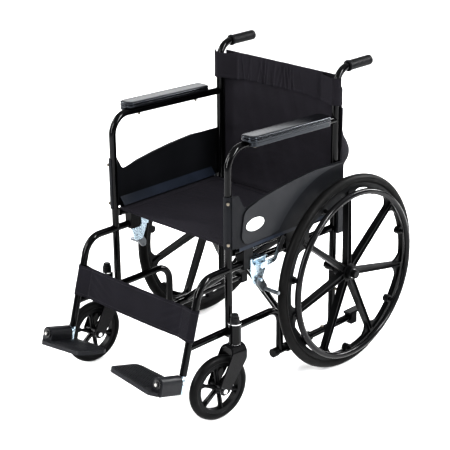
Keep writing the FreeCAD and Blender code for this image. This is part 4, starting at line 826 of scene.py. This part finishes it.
def armrest_pad(side):
    """A crowned pad in skinned foam: a soft top, a groove all round, and a lower tier beside the arm tube."""
    half, length, tall = 0.028, 0.341, 0.019
    tilt = math.asin((PAD_HIGH.z - PAD_LOW.z - tall + 0.0002) / length)
    foot = Vector((side * (PAD_LOW.x + PAD_HIGH.x) / 2, PAD_LOW.y, PAD_LOW.z + length * math.sin(tilt)))

    def place(x, y, height):
        return (foot.x + side * x, foot.y + y * math.cos(tilt) + height * math.sin(tilt),
                foot.z - y * math.sin(tilt) + height * math.cos(tilt))

    top = [(0.0, 0.0035), (0.0005, 0.0016), (0.0016, 0.0006), (0.0034, 0.0002), (0.0064, 0.0002),
           (0.0082, 0.0006), (0.0093, 0.0018), (0.0097, 0.0034), (0.0102, 0.0034), (0.0106, 0.0016),
           (0.0114, 0.0005), (0.0128, 0.0), (0.0146, 0.0006), (0.0163, 0.0021), (0.0176, 0.0045),
           (0.0184, 0.008), (0.0188, 0.0125), (0.019, 0.018), (0.0191, 0.0235), (0.01915, 0.0277)]
    rings = [(outline(half, length, 0.022, 0.018, inset), height) for height, inset in smooth_line(top, 90)]
    points, faces = tiered(rings, place)
    skirt_half, offset, front = 0.0136, 0.0141, 0.006
    low = [(-0.0115, 0.0034), (-0.0112, 0.0016), (-0.0102, 0.0005), (-0.008, 0.0), (-0.003, 0.0),
           (0.0012, 0.0)]
    rings = []
    for height, inset in smooth_line(low, 24):
        ring = outline(skirt_half, length - 2 * front, 0.0125, 0.0105, inset)
        rings.append(([(x + offset, y + front) for x, y in ring], height))
    more, sides = tiered(rings, place)
    faces += [tuple(k + len(points) for k in face) for face in sides]
    points += more
    if side < 0:
        faces = [face[::-1] for face in faces]
    name = "left" if side > 0 else "right"
    pad = mesh_object(f"{name}_pad_skin", points, faces, PAD)
    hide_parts(f"{name}_armrest_pad")
    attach(pad, f"{name}_side")


def turned(name, stations, axis_x, axis_z, finish, sides=64):
    """A body of revolution about a line along Y, through (y, radius) stations."""
    points, faces = [], []
    for y, radius in stations:
        for k in range(sides):
            angle = k * math.tau / sides
            points.append((axis_x + radius * math.cos(angle), y, axis_z + radius * math.sin(angle)))
    for s in range(len(stations) - 1):
        for k in range(sides):
            a, b = s * sides + k, s * sides + (k + 1) % sides
            faces.append((a, a + sides, b + sides, b))
    faces.append(tuple(range(sides)))
    faces.append(tuple((len(stations) - 1) * sides + k for k in range(sides))[::-1])
    return mesh_object(name, points, faces, finish)


def push_grip(side):
    """A moulded rubber grip with fine ribs, a stepped collar and a round end."""
    name = "left" if side > 0 else "right"
    y0, y1 = GRIP_LOW.y, GRIP_HIGH.y
    axis_z = (GRIP_LOW.z + GRIP_HIGH.z) / 2
    collar = (GRIP_HIGH.z - GRIP_LOW.z) / 2
    stations = [(y0, 0.0122), (y0, collar - 0.0008), (y0 + 0.0008, collar), (y0 + 0.0035, collar),
                (y0 + 0.0043, collar - 0.0008), (y0 + 0.0046, 0.0148), (y0 + 0.0054, 0.0146),
                (y0 + 0.0062, 0.0152), (y0 + 0.0066, 0.0158), (y0 + 0.0086, 0.0158),
                (y0 + 0.0092, 0.0152), (y0 + 0.0098, 0.0146)]
    rib = y0 + 0.0105
    while rib < y1 - 0.0175:
        stations += [(rib, 0.01475), (rib + 0.0006, 0.0152), (rib + 0.0017, 0.0152), (rib + 0.0023, 0.01475)]
        rib += 0.0032
    stations += [(y1 - 0.0155, 0.0152), (y1 - 0.006, 0.0154), (y1 - 0.0032, 0.0149), (y1 - 0.0014, 0.0136),
                 (y1 - 0.0004, 0.0115), (y1, 0.009), (y1, 0.004)]
    grip = turned(f"{name}_grip_rubber", stations, side * FRAME_X, axis_z, GRIP)
    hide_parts(f"{name}_push_grip")
    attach(grip, f"{name}_side")


def label(side):
    """A plain oval label, slightly domed, on the outer face of the side panel."""
    name = "left" if side > 0 else "right"
    face = PANEL_HIGH.x
    rings = [(1.0, 0.00005), (1.0, 0.0004), (0.985, 0.0006), (0.9, 0.0007), (0.6, 0.0008), (0.25, 0.00083)]
    points, faces, count = [], [], 72
    for share, lift in rings:
        for k in range(count):
            angle = k * math.tau / count
            y = LABEL_Y + LABEL_HALF_LENGTH * share * math.cos(angle)
            z = LABEL_Z + LABEL_HALF_HEIGHT * share * math.sin(angle)
            points.append((side * (face + lift), y, z))
    for r in range(len(rings) - 1):
        for k in range(count):
            a, b = r * count + k, r * count + (k + 1) % count
            faces.append((a, b, b + count, a + count)[::side])
    faces.append(tuple((len(rings) - 1) * count + k for k in range(count))[::side])
    oval = mesh_object(f"{name}_panel_label", points, faces, STICKER)
    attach(oval, f"{name}_side")


seat()
back()
calf_strap()
for which in (1, -1):
    armrest_pad(which)
    push_grip(which)
    label(which)


# ---------------------------------------------------------------- camera, light and floor

def area_light(name, place, aim, size, size_y, power):
    """A soft box aimed at a point."""
    data = bpy.data.lights.new(name, "AREA")
    data.shape = "RECTANGLE"
    data.size, data.size_y = size, size_y
    data.energy = power
    lamp = bpy.data.objects.new(name, data)
    lamp.location = place
    lamp.rotation_euler = (Vector(aim) - Vector(place)).to_track_quat("-Z", "Y").to_euler()
    bpy.context.scene.collection.objects.link(lamp)


def studio():
    """Pale floor, a broad overhead light, a dim room, and soft boxes that draw lines on the tubes."""
    bpy.ops.mesh.primitive_plane_add(size=40, location=(0, 0, -0.0005))
    floor = bpy.context.object
    floor.name = "studio_floor"
    pale, _, surface = shader("pale_floor", (0.93, 0.93, 0.93), 0.9)
    surface.inputs["Specular IOR Level"].default_value = 0.1
    floor.data.materials.append(pale)
    world = bpy.data.worlds.new("studio")
    world.use_nodes = True
    world.node_tree.nodes["Background"].inputs["Color"].default_value = (0.97, 0.98, 1, 1)
    world.node_tree.nodes["Background"].inputs["Strength"].default_value = 0.25
    bpy.context.scene.world = world
    overhead = bpy.data.lights.new("overhead", "SUN")
    overhead.energy = 1.3
    overhead.angle = math.radians(110)
    lamp = bpy.data.objects.new("overhead", overhead)
    lamp.rotation_euler = (math.radians(8), math.radians(12), 0)
    bpy.context.scene.collection.objects.link(lamp)
    area_light("strip_front", (0.2, -3.4, 1.9), (0, 0, 0.4), 0.5, 2.6, 150)
    area_light("strip_left", (3.3, 0.6, 2.3), (0, 0, 0.4), 0.5, 2.6, 160)
    area_light("strip_rear", (1.2, 3.3, 2.3), (0, 0, 0.5), 0.5, 2.6, 140)
    area_light("broad_rear", (-3.0, 3.1, 2.3), (0, 0, 0.7), 3.4, 1.7, 34)
    area_light("strip_right", (-3.2, -1.6, 2.2), (0, 0, 0.4), 0.5, 2.4, 110)
    bpy.context.scene.view_settings.view_transform = "Standard"
    bpy.context.scene.view_settings.look = "High Contrast"


def camera():
    """A long lens from the sitter's left front, a little above."""
    azimuth, elevation, roll = math.radians(44.4), math.radians(21.1), math.radians(-0.48)
    distance = 4.5386
    target = Vector((-0.2166, AXLE.y, 0.3195))
    away = Vector((math.sin(azimuth) * math.cos(elevation), -math.cos(azimuth) * math.cos(elevation),
                   math.sin(elevation)))
    data = bpy.data.cameras.new("camera")
    data.sensor_width = 36.0
    data.lens = 110.86
    data.clip_end = 60
    view = bpy.data.objects.new("camera", data)
    turn = (-away).to_track_quat("-Z", "Y").to_matrix() @ Matrix.Rotation(roll, 3, "Z")
    view.matrix_world = Matrix.Translation(target + away * distance) @ turn.to_4x4()
    bpy.context.scene.collection.objects.link(view)
    bpy.context.scene.camera = view


studio()
camera()
